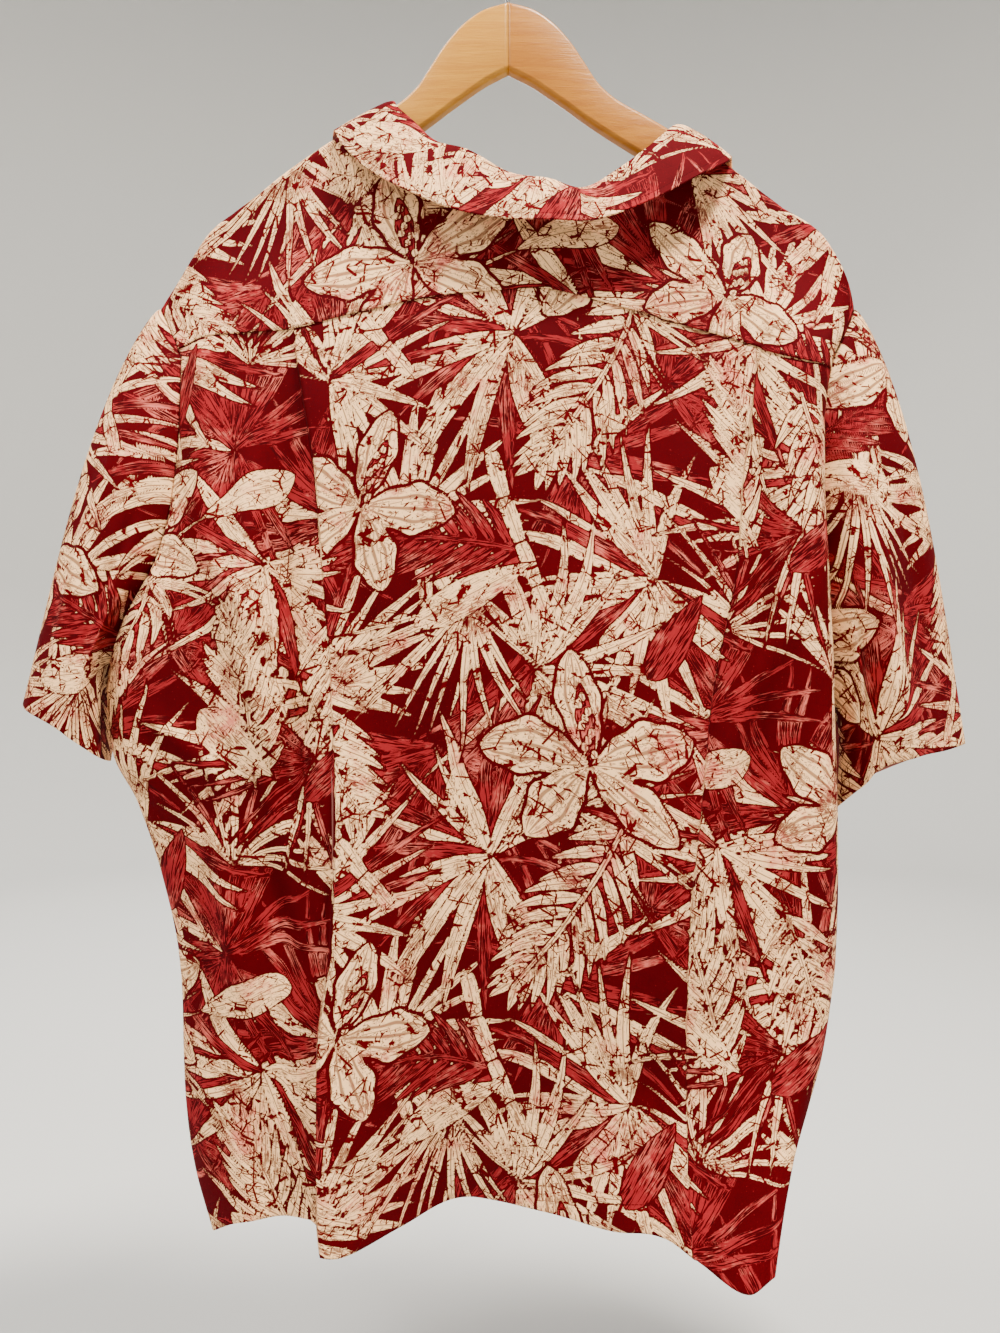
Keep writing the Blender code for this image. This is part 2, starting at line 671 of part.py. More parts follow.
def wood_half(name, sign, shade):
    """One half of the hanger: an outline bent along its length."""
    reach = np.array([0.0004, 0.012, 0.024, 0.036, 0.048, 0.060, 0.074, 0.092, 0.115, 0.140,
                      0.165, 0.190, 0.208, 0.220])
    work = bmesh.new()
    rings = []
    for r in reach:
        top, bottom = read(WOOD, "reach", "top", r), read(WOOD, "reach", "bottom", r)
        x = sign * r
        middle = ARM_BEND * (r / ARM_REACH) ** 2
        half = ARM_THICK / 2
        corners = [(-half, top + ARM_ROUND), (-half + 0.0012, top + 0.0012), (-half + ARM_ROUND, top),
                   (half - ARM_ROUND, top), (half - 0.0012, top + 0.0012), (half, top + ARM_ROUND),
                   (half, bottom - ARM_ROUND), (half - 0.0012, bottom - 0.0012),
                   (half - ARM_ROUND, bottom), (-half + ARM_ROUND, bottom),
                   (-half + 0.0012, bottom - 0.0012), (-half, bottom - ARM_ROUND)]
        rings.append([work.verts.new((x, middle + y, TILT * x - drop)) for y, drop in corners])
    for first, second in zip(rings[:-1], rings[1:]):
        for i in range(len(first)):
            after = (i + 1) % len(first)
            work.faces.new((first[i], first[after], second[after], second[i]))
    work.faces.new(rings[0])
    work.faces.new(rings[-1])
    bmesh.ops.recalc_face_normals(work, faces=work.faces)
    mesh = bpy.data.meshes.new(name)
    work.to_mesh(mesh)
    work.free()
    return make_object(name, mesh, shade)


def hook(shade):
    """Bent wire: a shank that stands on the wood, then most of a round turn."""
    curve = bpy.data.curves.new("hook", "CURVE")
    curve.dimensions = "3D"
    curve.bevel_depth = HOOK_WIRE / 2
    curve.bevel_resolution = 2
    curve.use_fill_caps = True
    centre = HOOK_WIRE / 2 - HOOK_RADIUS
    turn = [math.radians(a) for a in np.linspace(205, -62, 22)]
    route = [(HOOK_RADIUS * math.cos(a), 0.0, centre + HOOK_RADIUS * math.sin(a)) for a in turn]
    foot = -float(WOOD["top"][0]) + 0.0004
    lead = [(0.0, 0.0, foot), (0.0, 0.0, foot + 0.008), (0.0018, 0.0, foot + 0.013),
            (0.0068, 0.0, foot + 0.0166)]
    route += lead[::-1]
    strand = curve.splines.new("POLY")
    strand.points.add(len(route) - 1)
    for point, place in zip(strand.points, route):
        point.co = (*place, 1)
    thing = bpy.data.objects.new("hook", curve)
    bpy.context.collection.objects.link(thing)
    curve.materials.append(shade)
    return thing


def button(name, drop, shade):
    """A flat disc on the outer front."""
    level = np.array([[drop]])
    middle = body_across(read(CENTRE, "drop", "x", level), level)
    x, y, z = body_points(middle, level, 1)[0, 0]
    y += FRONT_LAP + WALL / 2 + SEAM_GAP + BUTTON_THICK / 2
    work = bmesh.new()
    bmesh.ops.create_cone(work, cap_ends=True, segments=20, radius1=BUTTON_RADIUS,
                          radius2=BUTTON_RADIUS, depth=BUTTON_THICK)
    mesh = bpy.data.meshes.new(name)
    work.to_mesh(mesh)
    work.free()
    thing = make_object(name, mesh, shade)
    above, below = (body_points(middle, level + step, 1)[0, 0][1] for step in (-0.01, 0.01))
    thing.rotation_euler = (math.pi / 2 + math.atan((below - above) / 0.02), 0, 0)
    thing.location = (x, y, z)
    return thing


def build():
    for thing in list(bpy.data.objects):
        bpy.data.objects.remove(thing)
    print_cloth = material("printed_cloth", (0.36, 0.03, 0.04), 0.85)
    pale_wood = material("pale_maple", (0.78, 0.56, 0.26), 0.42)
    warm_wood = material("warm_maple", (0.70, 0.42, 0.17), 0.42)
    steel = material("steel", (0.75, 0.75, 0.76), 0.25, 1.0)
    shell = material("button_shell", (0.45, 0.10, 0.09), 0.35)

    back_places = columns((0.0, 1), (0.002, 1), (0.008, 1), (0.022, 1), (0.045, 4), (0.235, 1),
                          (0.2485, 1), (0.2545, 1), (0.275, 7), (0.725, 1), (0.7455, 1),
                          (0.7515, 1), (0.765, 4), (0.965, 1), (0.985, 1), (0.994, 1),
                          (0.9985, 1), 1.0)
    body_downs = columns((0.0, 12), (0.4, 9), 1.0)
    cloth("back", back_grid(back_places, body_downs), print_cloth, 1)

    neck_ends = body_across(np.array([NECK_LEFT, NECK_RIGHT]), 0.292)
    neck_turns = body_across(np.array(NECK_TURNS), 0.292)
    top_places = back_across(back_places[None, :], np.zeros((1, 1)))[0]
    near_neck = np.concatenate([neck_ends, neck_turns, neck_ends[0] * (1 - NEAR_EDGE),
                                mix(neck_ends[1], 1, NEAR_EDGE)])
    clear = np.abs(top_places[:, None] - near_neck).min(1) > 0.006
    yoke_places = np.sort(np.concatenate([top_places[clear], near_neck]))
    rows_up = np.array([0.0, 0.2, 0.4, 0.6, 0.78, 0.9, 0.965, 0.99, 1.0])
    points, keep = yoke_grid(yoke_places, rows_up, np.array([0.04, 0.14, 0.4, 0.7, 1.0]))
    cloth("yoke", points, print_cloth, -1, keep)

    for side in ("left", "right"):
        if side == "left":
            inner = yoke_places[yoke_places < neck_ends[0] + 1e-6] / neck_ends[0]
        else:
            shoulder = yoke_places[yoke_places > neck_ends[1] - 1e-6]
            inner = (shoulder - neck_ends[1]) / (1 - neck_ends[1])
        cloth("front_" + side, front_grid(side, inner, body_downs), print_cloth, -1)
        lapel = lapel_grid(side, columns((0.0, 5), 1.0), columns((0.0, 6), 1.0))
        cloth("lapel_" + side, lapel, print_cloth, 1 if side == "left" else -1)
        turns = np.linspace(0, 1, 30, endpoint=False)
        sleeve = sleeve_grid(side, turns, columns((0.0, 2), (0.08, 6), 1.0))
        cloth("sleeve_" + side, sleeve, print_cloth, -1 if side == "left" else 1, closed=True)

    collar = collar_grid(np.linspace(0, 21, 36), np.arange(10.0))
    cloth("collar", collar, print_cloth, -1)

    wood_half("hanger_left", -1, pale_wood)
    wood_half("hanger_right", 1, warm_wood)
    hook(steel)
    for i, drop in enumerate(BUTTON_DROPS):
        button("button_%d" % (i + 1), drop, shell)


build()
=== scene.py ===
"""A back view of a tropical shirt on a wooden hanger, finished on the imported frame."""

import math

import bpy
import numpy as np
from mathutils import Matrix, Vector


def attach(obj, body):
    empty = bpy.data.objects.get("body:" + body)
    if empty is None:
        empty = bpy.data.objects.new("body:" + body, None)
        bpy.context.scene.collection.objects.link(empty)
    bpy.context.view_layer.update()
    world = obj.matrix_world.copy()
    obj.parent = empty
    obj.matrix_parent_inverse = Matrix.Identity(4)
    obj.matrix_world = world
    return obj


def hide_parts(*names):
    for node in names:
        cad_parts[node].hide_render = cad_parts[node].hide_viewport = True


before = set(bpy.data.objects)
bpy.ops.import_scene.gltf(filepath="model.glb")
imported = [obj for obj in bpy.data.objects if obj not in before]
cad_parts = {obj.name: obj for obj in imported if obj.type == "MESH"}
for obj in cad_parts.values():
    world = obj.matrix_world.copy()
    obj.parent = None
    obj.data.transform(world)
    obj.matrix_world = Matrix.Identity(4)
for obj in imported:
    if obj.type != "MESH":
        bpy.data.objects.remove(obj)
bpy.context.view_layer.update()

# Sizes, in metres; drop is the distance below the top of the hook's inside

# Cloth
WALL = 0.0012            # thickness of every cloth wall
SEAM_GAP = 0.0004        # air between two sewn pieces
SIDE_GAP = 0.0006        # air between the back's and the fronts' rims, which meet at an angle
FOLD_RADIUS = 0.0092     # how wide the cloth lies over the hanger's arms, half
FRONT_LAP = 0.0016       # how far each front stands off their shared middle where they lap
SLEEVE_GAP = 0.0009      # from a body edge's middle to the sleeve's rim
BUTTON_THICK = 0.0024

# Hanger
ARM_REACH = 0.225        # from the middle to an arm's end
ARM_THICK = 0.012
ARM_BEND = 0.032         # how far the arms' ends curve towards the shirt's front
ARM_ROUND = 0.004        # rounding along the wood's edges
TILT = 0.016             # rise of the hanger to the right, per metre
HOOK_WIRE = 0.0035       # wire diameter
HOOK_RADIUS = 0.0205     # middle of the wire's bend


def table(names, *rows):
    """Rows of numbers as a dictionary of named columns."""
    return dict(zip(names.split(), np.array(rows, float).T))


# Wood's top and bottom edges from the middle outwards
WOOD = table(
    "reach  top     bottom",
    (0.000, 0.0641, 0.1180),
    (0.018, 0.0690, 0.1270),
    (0.034, 0.0790, 0.1375),
    (0.048, 0.0935, 0.1470),
    (0.060, 0.1105, 0.1555),
    (0.071, 0.1265, 0.1625),
    (0.086, 0.1390, 0.1715),
    (0.106, 0.1490, 0.1825),
    (0.126, 0.1590, 0.1925),
    (0.150, 0.1720, 0.2045),
    (0.180, 0.1890, 0.2200),
    (0.205, 0.2060, 0.2340),
    (0.225, 0.2260, 0.2460),
)

# Shoulder line of the cloth, left armhole to right armhole
RIDGE = table(
    "x       drop",
    (-0.285, 0.2920),
    (-0.269, 0.2700),
    (-0.256, 0.2490),
    (-0.242, 0.2290),
    (-0.226, 0.2160),
    (-0.205, 0.2040),
    (-0.180, 0.1880),
    (-0.150, 0.1710),
    (-0.126, 0.1585),
    (-0.106, 0.1480),
    (0.106, 0.1440),
    (0.126, 0.1545),
    (0.150, 0.1670),
    (0.180, 0.1835),
    (0.205, 0.1990),
    (0.226, 0.2110),
    (0.254, 0.2290),
    (0.268, 0.2490),
    (0.278, 0.2690),
    (0.285, 0.2920),
)

# Edges of the body: armhole seams above the underarms, side seams below them
SIDES = table(
    "drop   left_x   left_y  right_x  right_y",
    (0.292, -0.2850, 0.034, 0.2850, 0.034),
    (0.312, -0.2740, 0.032, 0.2760, 0.032),
    (0.342, -0.2620, 0.029, 0.2610, 0.029),
    (0.396, -0.2610, 0.025, 0.2525, 0.026),
    (0.452, -0.2655, 0.022, 0.2515, 0.024),
    (0.495, -0.2760, 0.020, 0.2530, 0.022),
    (0.558, -0.3080, 0.017, 0.2560, 0.019),
    (0.600, -0.3200, 0.015, 0.2580, 0.017),
    (0.653, -0.3150, 0.013, 0.2590, 0.014),
    (0.693, -0.2950, 0.012, 0.2600, 0.012),
    (0.753, -0.2750, 0.011, 0.2600, 0.010),
    (0.813, -0.2622, 0.010, 0.2577, 0.008),
    (0.850, -0.2590, 0.009, 0.2510, 0.000),
    (0.885, -0.2580, 0.008, 0.2410, -0.013),
    (0.918, -0.2565, 0.007, 0.2270, -0.028),
    (0.950, -0.2530, 0.005, 0.2120, -0.045),
    (0.980, -0.2470, 0.002, 0.2000, -0.062),
    (1.033, -0.2300, -0.004, 0.1860, -0.079),
)

# Armhole loops: top and bottom, and how far they open to the back and the front
SHOULDER_DROP = 0.292
ARMHOLE = {
    "left": {"top": SHOULDER_DROP, "bottom": 0.585, "back": 0.020, "front": 0.034},
    "right": {"top": SHOULDER_DROP, "bottom": 0.605, "back": 0.012, "front": 0.034},
}

# Depth of the back at five places across, left edge to right edge
BACK = table(
    "drop   a       b       c       d       e",
    (0.25, 0.0200, -0.0100, -0.0270, -0.0100, 0.0180),
    (0.35, 0.0040, -0.0240, -0.0350, -0.0220, -0.0060),
    (0.50, -0.010, -0.0330, -0.0370, -0.0340, -0.0200),
    (0.65, -0.014, -0.0370, -0.0350, -0.0400, -0.0240),
    (0.80, -0.010, -0.0340, -0.0310, -0.0400, -0.0240),
    (0.92, -0.010, -0.0280, -0.0220, -0.0380, -0.0440),
    (1.03, -0.012, -0.0260, -0.0080, -0.0440, -0.0840),
)
# Depth of the fronts at the same five places
FRONT = table(
    "drop   a       b       c       d       e",
    (0.25, 0.0450, 0.0520, 0.0600, 0.0520, 0.0450),
    (0.35, 0.0520, 0.0640, 0.0740, 0.0640, 0.0520),
    (0.50, 0.0520, 0.0790, 0.0900, 0.0790, 0.0540),
    (0.65, 0.0470, 0.0850, 0.0950, 0.0850, 0.0520),
    (0.80, 0.0450, 0.0850, 0.0940, 0.0820, 0.0460),
    (0.92, 0.0430, 0.0800, 0.0900, 0.0720, 0.0160),
    (1.03, 0.0380, 0.0760, 0.0820, 0.0500, -0.0360),
)

# The back's two pleats: where the step lies and how deep it is, down the back
PLEATS = table(
    "drop   left_x   left_step  right_x  right_step",
    (0.320, -0.1680, 0.0020, 0.1990, 0.0020),
    (0.386, -0.1560, 0.0050, 0.1870, 0.0050),
    (0.431, -0.1480, 0.0035, 0.1795, 0.0040),
    (0.500, -0.1420, 0.0015, 0.1740, 0.0020),
    (0.600, -0.1340, 0.0015, 0.1540, 0.0025),
    (0.692, -0.1300, 0.0060, 0.1440, 0.0055),
    (0.791, -0.1330, 0.0110, 0.1345, 0.0040),
    (0.877, -0.1430, 0.0180, 0.1330, 0.0020),
    (0.989, -0.1420, 0.0290, 0.1350, 0.0020),
    (1.035, -0.1380, 0.0330, 0.1360, 0.0020),
)

# Largest soft folds of the back: height is towards the viewer behind the shirt
FOLDS = table(
    "top_x   top    low_x    low    height   width",
    (-0.246, 0.300, -0.238, 0.470, 0.0070, 0.016),
    (-0.238, 0.440, -0.180, 0.660, 0.0050, 0.022),
    (-0.215, 0.640, -0.205, 1.060, 0.0070, 0.020),
    (-0.170, 0.560, -0.172, 1.060, -0.0050, 0.018),
    (-0.060, 0.760, -0.050, 1.060, -0.0050, 0.024),
    (0.060, 0.420, 0.085, 1.060, 0.0050, 0.028),
    (0.236, 0.330, 0.232, 0.860, 0.0040, 0.014),
    (0.200, 0.560, 0.185, 1.060, -0.0045, 0.016),
    (0.110, 0.860, 0.105, 1.060, -0.0060, 0.020),
)
# Largest soft folds of the fronts: height is away from the wearer
FRONT_FOLDS = table(
    "top_x   top    low_x    low    height   width",
    (-0.190, 0.420, -0.170, 1.060, 0.0080, 0.024),
    (-0.115, 0.560, -0.105, 1.060, -0.0060, 0.022),
    (-0.240, 0.620, -0.225, 1.060, -0.0040, 0.018),
    (0.080, 0.600, 0.085, 1.060, 0.0070, 0.024),
    (0.165, 0.430, 0.140, 1.060, 0.0080, 0.024),
    (0.215, 0.560, 0.180, 1.060, -0.0060, 0.018),
)

# Lower edges of the back and of the fronts
BACK_HEM = table(
    "across drop",
    (0.000, 1.0280),
    (0.080, 1.0120),
    (0.200, 1.0090),
    (0.222, 1.0165),
    (0.265, 1.0200),
    (0.360, 1.0150),
    (0.500, 0.9990),
    (0.590, 1.0020),
    (0.720, 1.0055),
    (0.820, 1.0080),
    (0.880, 1.0180),
    (0.960, 1.0310),
    (1.000, 1.0200),
)
FRONT_HEM = table(
    "across drop",
    (0.000, 1.0280),
    (0.300, 1.0240),
    (0.500, 1.0220),
    (0.800, 1.0260),
    (1.000, 1.0200),
)
# Seam between the back and the yoke
YOKE_SEAM = table(
    "across drop",
    (0.000, 0.3290),
    (0.070, 0.3230),
    (0.180, 0.3240),
    (0.270, 0.3160),
    (0.440, 0.3020),
    (0.540, 0.2990),
    (0.640, 0.3090),
    (0.780, 0.3270),
    (0.900, 0.3420),
    (1.000, 0.3500),
)
# Seam between the yoke and the fronts
FRONT_SEAM = table(
    "across drop",
    (0.000, 0.3290),
    (0.020, 0.3110),
    (0.050, 0.2860),
    (0.100, 0.2540),
    (0.200, 0.2190),
    (0.304, 0.1870),
    (0.500, 0.1800),
    (0.772, 0.2058),
    (0.850, 0.2330),
    (0.900, 0.2600),
    (0.950, 0.3000),
    (0.980, 0.3290),
    (1.000, 0.3500),
)

# Neckline at the back, between its two points on the shoulder line
NECK_LEFT = -0.112
NECK_RIGHT = 0.155
NECK = table(
    "x       drop",
    (-0.1120, 0.1512),
    (-0.1110, 0.1545),
    (-0.1090, 0.1610),
    (-0.1040, 0.1700),
    (-0.0920, 0.1850),
    (-0.0660, 0.2080),
    (-0.0350, 0.2230),
    (0.0000, 0.2370),
    (0.0300, 0.2400),
    (0.0600, 0.2395),
    (0.0950, 0.2285),
    (0.1280, 0.2060),
    (0.1450, 0.1880),
    (0.1520, 0.1790),
    (0.1540, 0.1730),
    (0.1550, 0.1698),
)

# Front opening: the inner edges of the two fronts, which cross at the top button
OPENING = table(
    "down    left    right",
    (0.000, -0.1120, 0.1550),
    (0.100, -0.0470, 0.0800),
    (0.195, 0.0160, 0.0060),
    (0.225, 0.0240, -0.0120),
    (0.300, 0.0240, -0.0120),
    (1.000, 0.0140, -0.0220),
)
CENTRE = table("drop x", (0.36, 0.006), (1.03, -0.004))
LAPEL_TOP = 0.075        # shares of a front's length where its lapel begins and ends
LAPEL_END = 0.172
LAPEL_SHARE = 0.127      # widest part of a lapel, as a share of the width across
LAPEL_LIFT = 0.0021      # how far it lies off its front, and how much it rolls up between
LAPEL_ROLL = 0.0030
LAP_START = 0.3          # share of the width where the fronts begin to part for their lap
LAP_RAMP = 0.12
BACK_SPAN = (0.32, 1.01)    # drops between which the back's columns follow its pleats
FRONT_SPAN = (0.20, 1.02)   # drops between which a front's edge is read
PLEAT_TOP = 0.29         # drop where the pleats begin to step out, and over what length
PLEAT_FADE = 0.05
PLEAT_EDGE = 0.003       # width of a pleat's step, and of the cloth's fall behind it
PLEAT_FALL = 0.043
ARM_SHAPE_END = 0.13     # distance below the shoulder line where the hanger's shape has gone
EDGE_ROLL = {"left": 0.034, "right": 0.018}   # width over which the body turns in to its edges
SLEEVE_FULL = 0.010      # fullness of a sleeve's middle outwards, upwards and across
SLEEVE_RISE = 0.006
SLEEVE_ROUND = 0.012
SLEEVE_CLEAR = 0.004     # extra air between a sleeve and the body beside it
SLEEVE_EASE = 0.002
BUTTON_DROPS = [0.385 + 0.102 * i for i in range(6)]

# Collar: neck seam, fold and outer edge at each station, left front to right front
COLLAR = table(
    "neck_x neck_y neck_drop fold_x fold_y fold_drop edge_x edge_y edge_drop",
    (-0.067, 0.0640, 0.2330, -0.0560, 0.0740, 0.2180, -0.1180, 0.0860, 0.2900),
    (-0.095, 0.0480, 0.1920, -0.0790, 0.0540, 0.1790, -0.1440, 0.0690, 0.2400),
    (-0.109, 0.0280, 0.1620, -0.0890, 0.0310, 0.1480, -0.1460, 0.0430, 0.1880),
    (-0.1115, 0.0165, 0.1515, -0.0915, 0.0175, 0.1395, -0.1420, 0.0200, 0.1630),
    (-0.1115, 0.0070, 0.1500, -0.0915, 0.0080, 0.1375, -0.1390, 0.0100, 0.1580),
    (-0.1090, -0.0035, 0.1580, -0.0895, -0.0030, 0.1420, -0.1345, -0.0040, 0.1690),
    (-0.101, -0.0060, 0.1720, -0.0860, -0.0090, 0.1500, -0.1280, -0.0130, 0.1830),
    (-0.088, -0.0085, 0.1870, -0.0740, -0.0120, 0.1620, -0.1080, -0.0220, 0.2060),
    (-0.066, -0.0140, 0.2080, -0.0560, -0.0180, 0.1810, -0.0790, -0.0310, 0.2260),
    (-0.035, -0.0210, 0.2230, -0.0310, -0.0240, 0.1910, -0.0450, -0.0390, 0.2440),
    (0.000, -0.0265, 0.2390, 0.0010, -0.0290, 0.2110, -0.0060, -0.0445, 0.2545),
    (0.030, -0.0275, 0.2450, 0.0300, -0.0310, 0.2165, 0.0290, -0.0460, 0.2560),
    (0.060, -0.0265, 0.2500, 0.0570, -0.0300, 0.2230, 0.0650, -0.0450, 0.2555),
    (0.095, -0.0205, 0.2370, 0.0850, -0.0240, 0.2050, 0.1060, -0.0370, 0.2375),
    (0.128, -0.0110, 0.2100, 0.1110, -0.0140, 0.1815, 0.1440, -0.0250, 0.2130),
    (0.146, -0.0030, 0.1880, 0.1270, -0.0045, 0.1640, 0.1680, -0.0120, 0.1960),
    (0.1535, 0.0055, 0.1750, 0.1325, 0.0040, 0.1570, 0.1765, 0.0030, 0.1840),
    (0.1545, 0.0150, 0.1680, 0.1350, 0.0140, 0.1520, 0.1800, 0.0150, 0.1780),
    (0.1545, 0.0245, 0.1715, 0.1345, 0.0245, 0.1565, 0.1840, 0.0290, 0.1860),
    (0.150, 0.0330, 0.1800, 0.1320, 0.0350, 0.1640, 0.1860, 0.0460, 0.2080),
    (0.138, 0.0500, 0.2060, 0.1220, 0.0560, 0.1930, 0.1840, 0.0700, 0.2560),
    (0.112, 0.0650, 0.2440, 0.1000, 0.0750, 0.2300, 0.1620, 0.0870, 0.3020),
)

# Cuffs: points round each sleeve's end, from the outer corner round the back
CUFFS = {
    "left": table(
        "x       y       drop",
        (-0.3940, 0.034, 0.6130),
        (-0.3800, -0.002, 0.6200),
        (-0.3480, -0.020, 0.6330),
        (-0.3300, -0.014, 0.6480),
        (-0.3235, 0.006, 0.6590),
        (-0.3320, 0.046, 0.6640),
        (-0.3560, 0.080, 0.6540),
        (-0.3820, 0.068, 0.6320),
    ),
    "right": table(
        "x       y       drop",
        (0.3790, 0.040, 0.6500),
        (0.3480, 0.006, 0.6530),
        (0.2970, -0.018, 0.6600),
        (0.2800, 0.004, 0.6820),
        (0.2680, 0.024, 0.7000),
        (0.2790, 0.060, 0.7030),
        (0.3100, 0.086, 0.6860),
        (0.3560, 0.074, 0.6640),
    ),
}


# Creases of the cloth: from one end to the other, height outwards, width across

BACK_CREASES = table(
    "x1      drop1  x2      drop2  height   width",
    (-0.176, 0.350, -0.160, 0.800, -0.0075, 0.013),
    (-0.205, 0.340, -0.186, 0.700, 0.0050, 0.014),
    (-0.120, 0.380, -0.108, 0.700, -0.0030, 0.012),
    (0.205, 0.340, 0.182, 0.800, -0.0060, 0.012),
    (0.130, 0.440, 0.118, 0.760, -0.0030, 0.014),
    (-0.205, 0.620, -0.160, 0.860, -0.0045, 0.012),
    (-0.240, 0.700, -0.180, 0.880, 0.0040, 0.012),
    (-0.258, 0.470, -0.120, 0.640, 0.0030, 0.010),
    (-0.262, 0.500, -0.150, 0.720, -0.0026, 0.009),
    (-0.300, 0.600, -0.190, 0.700, 0.0024, 0.010),
    (-0.296, 0.660, -0.215, 0.790, -0.0022, 0.010),
    (-0.110, 0.420, -0.095, 0.640, 0.0016, 0.014),
    (-0.020, 0.360, -0.045, 0.590, -0.0014, 0.016),
    (0.035, 0.540, 0.060, 0.800, 0.0018, 0.014),
    (0.110, 0.400, 0.135, 0.620, -0.0016, 0.012),
    (0.246, 0.480, 0.150, 0.700, 0.0026, 0.011),
    (0.250, 0.560, 0.190, 0.800, -0.0026, 0.010),
    (0.225, 0.700, 0.205, 0.960, 0.0030, 0.011),
    (-0.090, 0.800, -0.100, 1.020, 0.0026, 0.013),
    (-0.010, 0.860, -0.015, 1.010, 0.0022, 0.013),
    (0.045, 0.900, 0.040, 1.010, -0.0024, 0.012),
    (0.165, 0.860, 0.155, 1.030, 0.0034, 0.010),
    (-0.235, 0.850, -0.232, 1.020, 0.0030, 0.010),
    (-0.190, 0.900, -0.188, 1.010, -0.0030, 0.009),
    (-0.040, 0.290, 0.075, 0.335, -0.0010, 0.012),
    (-0.150, 0.215, -0.190, 0.310, 0.0016, 0.012),
    (0.165, 0.220, 0.205, 0.330, 0.0018, 0.012),
    (0.020, 0.262, 0.010, 0.330, 0.0010, 0.016),
)
FRONT_CREASES = table(
    "x1      drop1  x2      drop2  height   width",
    (-0.262, 0.480, -0.130, 0.640, 0.0032, 0.011),
    (-0.300, 0.600, -0.180, 0.720, 0.0030, 0.012),
    (-0.060, 0.420, -0.075, 0.760, 0.0020, 0.014),
    (-0.140, 0.700, -0.150, 1.000, -0.0032, 0.014),
    (-0.060, 0.820, -0.055, 1.015, 0.0034, 0.013),
    (0.250, 0.480, 0.120, 0.660, 0.0032, 0.011),
    (0.240, 0.620, 0.170, 0.780, -0.0028, 0.011),
    (0.060, 0.440, 0.075, 0.740, 0.0020, 0.015),
    (0.120, 0.800, 0.110, 1.010, -0.0034, 0.013),
    (0.170, 0.820, 0.150, 1.010, 0.0034, 0.012),
    (-0.170, 0.240, -0.130, 0.420, 0.0022, 0.014),
    (0.175, 0.260, 0.130, 0.430, 0.0022, 0.014),
)
SLEEVE_CREASES = {
    "left": table(
        "turn1  down1  turn2  down2  height   width",
        (0.120, 0.05, 0.180, 0.95, 0.0040, 0.022),
        (0.240, 0.10, 0.270, 0.80, -0.0034, 0.020),
        (0.340, 0.15, 0.320, 1.05, 0.0040, 0.020),
        (0.430, 0.05, 0.400, 0.70, -0.0030, 0.018),
        (0.660, 0.10, 0.640, 0.95, 0.0040, 0.025),
        (0.820, 0.20, 0.800, 1.05, -0.0036, 0.024),
    ),
    "right": table(
        "turn1  down1  turn2  down2  height   width",
        (0.195, 0.10, 0.230, 1.30, 0.0075, 0.034),
        (0.120, 0.05, 0.130, 0.90, -0.0034, 0.026),
        (0.275, 0.30, 0.305, 1.20, -0.0048, 0.030),
        (0.310, 0.10, 0.300, 1.00, -0.0040, 0.022),
        (0.400, 0.20, 0.390, 0.90, 0.0034, 0.020),
        (0.640, 0.10, 0.660, 0.95, 0.0040, 0.025),
        (0.790, 0.15, 0.810, 1.05, -0.0036, 0.024),
    ),
}
CREASE_DEPTH = 1.70      # scales the height of every crease

# Slow unevenness of hanging cloth: waves across and down, and their height
RIPPLES = table(
    "across  down   phase  height",
    (31.0, 6.0, 0.4, 0.00060),
    (-19.0, 11.0, 1.9, 0.00070),
    (47.0, -9.0, 2.6, 0.00040),
    (13.0, 27.0, 4.1, 0.00050),
    (-38.0, -21.0, 5.0, 0.00030),
)


# Shape helpers

def soft(q):
    """Smooth step from 0 to 1."""
    q = np.clip(q, 0.0, 1.0)
    return q * q * (3.0 - 2.0 * q)


def mix(a, b, q):
    return a + (b - a) * q


def unit(vector):
    return vector / np.linalg.norm(vector, axis=-1, keepdims=True)


def read(rows, name, where):
    """A column's smooth value at a place in the first column, with no overshoot between rows."""
    knots, values = next(iter(rows.values())), rows[name]
    span = np.diff(knots)
    rise = np.diff(values) / span
    slope = np.zeros_like(values)
    slope[0], slope[-1] = rise[0], rise[-1]
    same = rise[:-1] * rise[1:] > 0
    total = np.where(same, rise[:-1] + rise[1:], 1.0)
    slope[1:-1] = np.where(same, 2.0 * rise[:-1] * rise[1:] / total, 0.0)
    where = np.clip(where, knots[0], knots[-1])
    i = np.clip(np.searchsorted(knots, where, side="right") - 1, 0, len(knots) - 2)
    q = (where - knots[i]) / span[i]
    start = (1 + 2 * q) * (1 - q) ** 2 * values[i] + q * (1 - q) ** 2 * span[i] * slope[i]
    end = q * q * (3 - 2 * q) * values[i + 1] - q * q * (1 - q) * span[i] * slope[i + 1]
    return start + end


def through(before, first, second, after, q):
    """The smooth curve through four values, between its middle two."""
    return 0.5 * (2 * first + (second - before) * q
                  + (2 * before - 5 * first + 4 * second - after) * q ** 2
                  + (3 * first - before - 3 * second + after) * q ** 3)


def spline(values, where, closed=False):
    """A smooth curve through evenly numbered values."""
    count = len(values)
    if closed:
        where = np.mod(where, count)
        i = np.floor(where).astype(int)
        picks = [(i + k) % count for k in (-1, 0, 1, 2)]
    else:
        i = np.clip(np.floor(where).astype(int), 0, count - 2)
        picks = [np.clip(i + k, 0, count - 1) for k in (-1, 0, 1, 2)]
    return through(*(values[p] for p in picks), where - i)


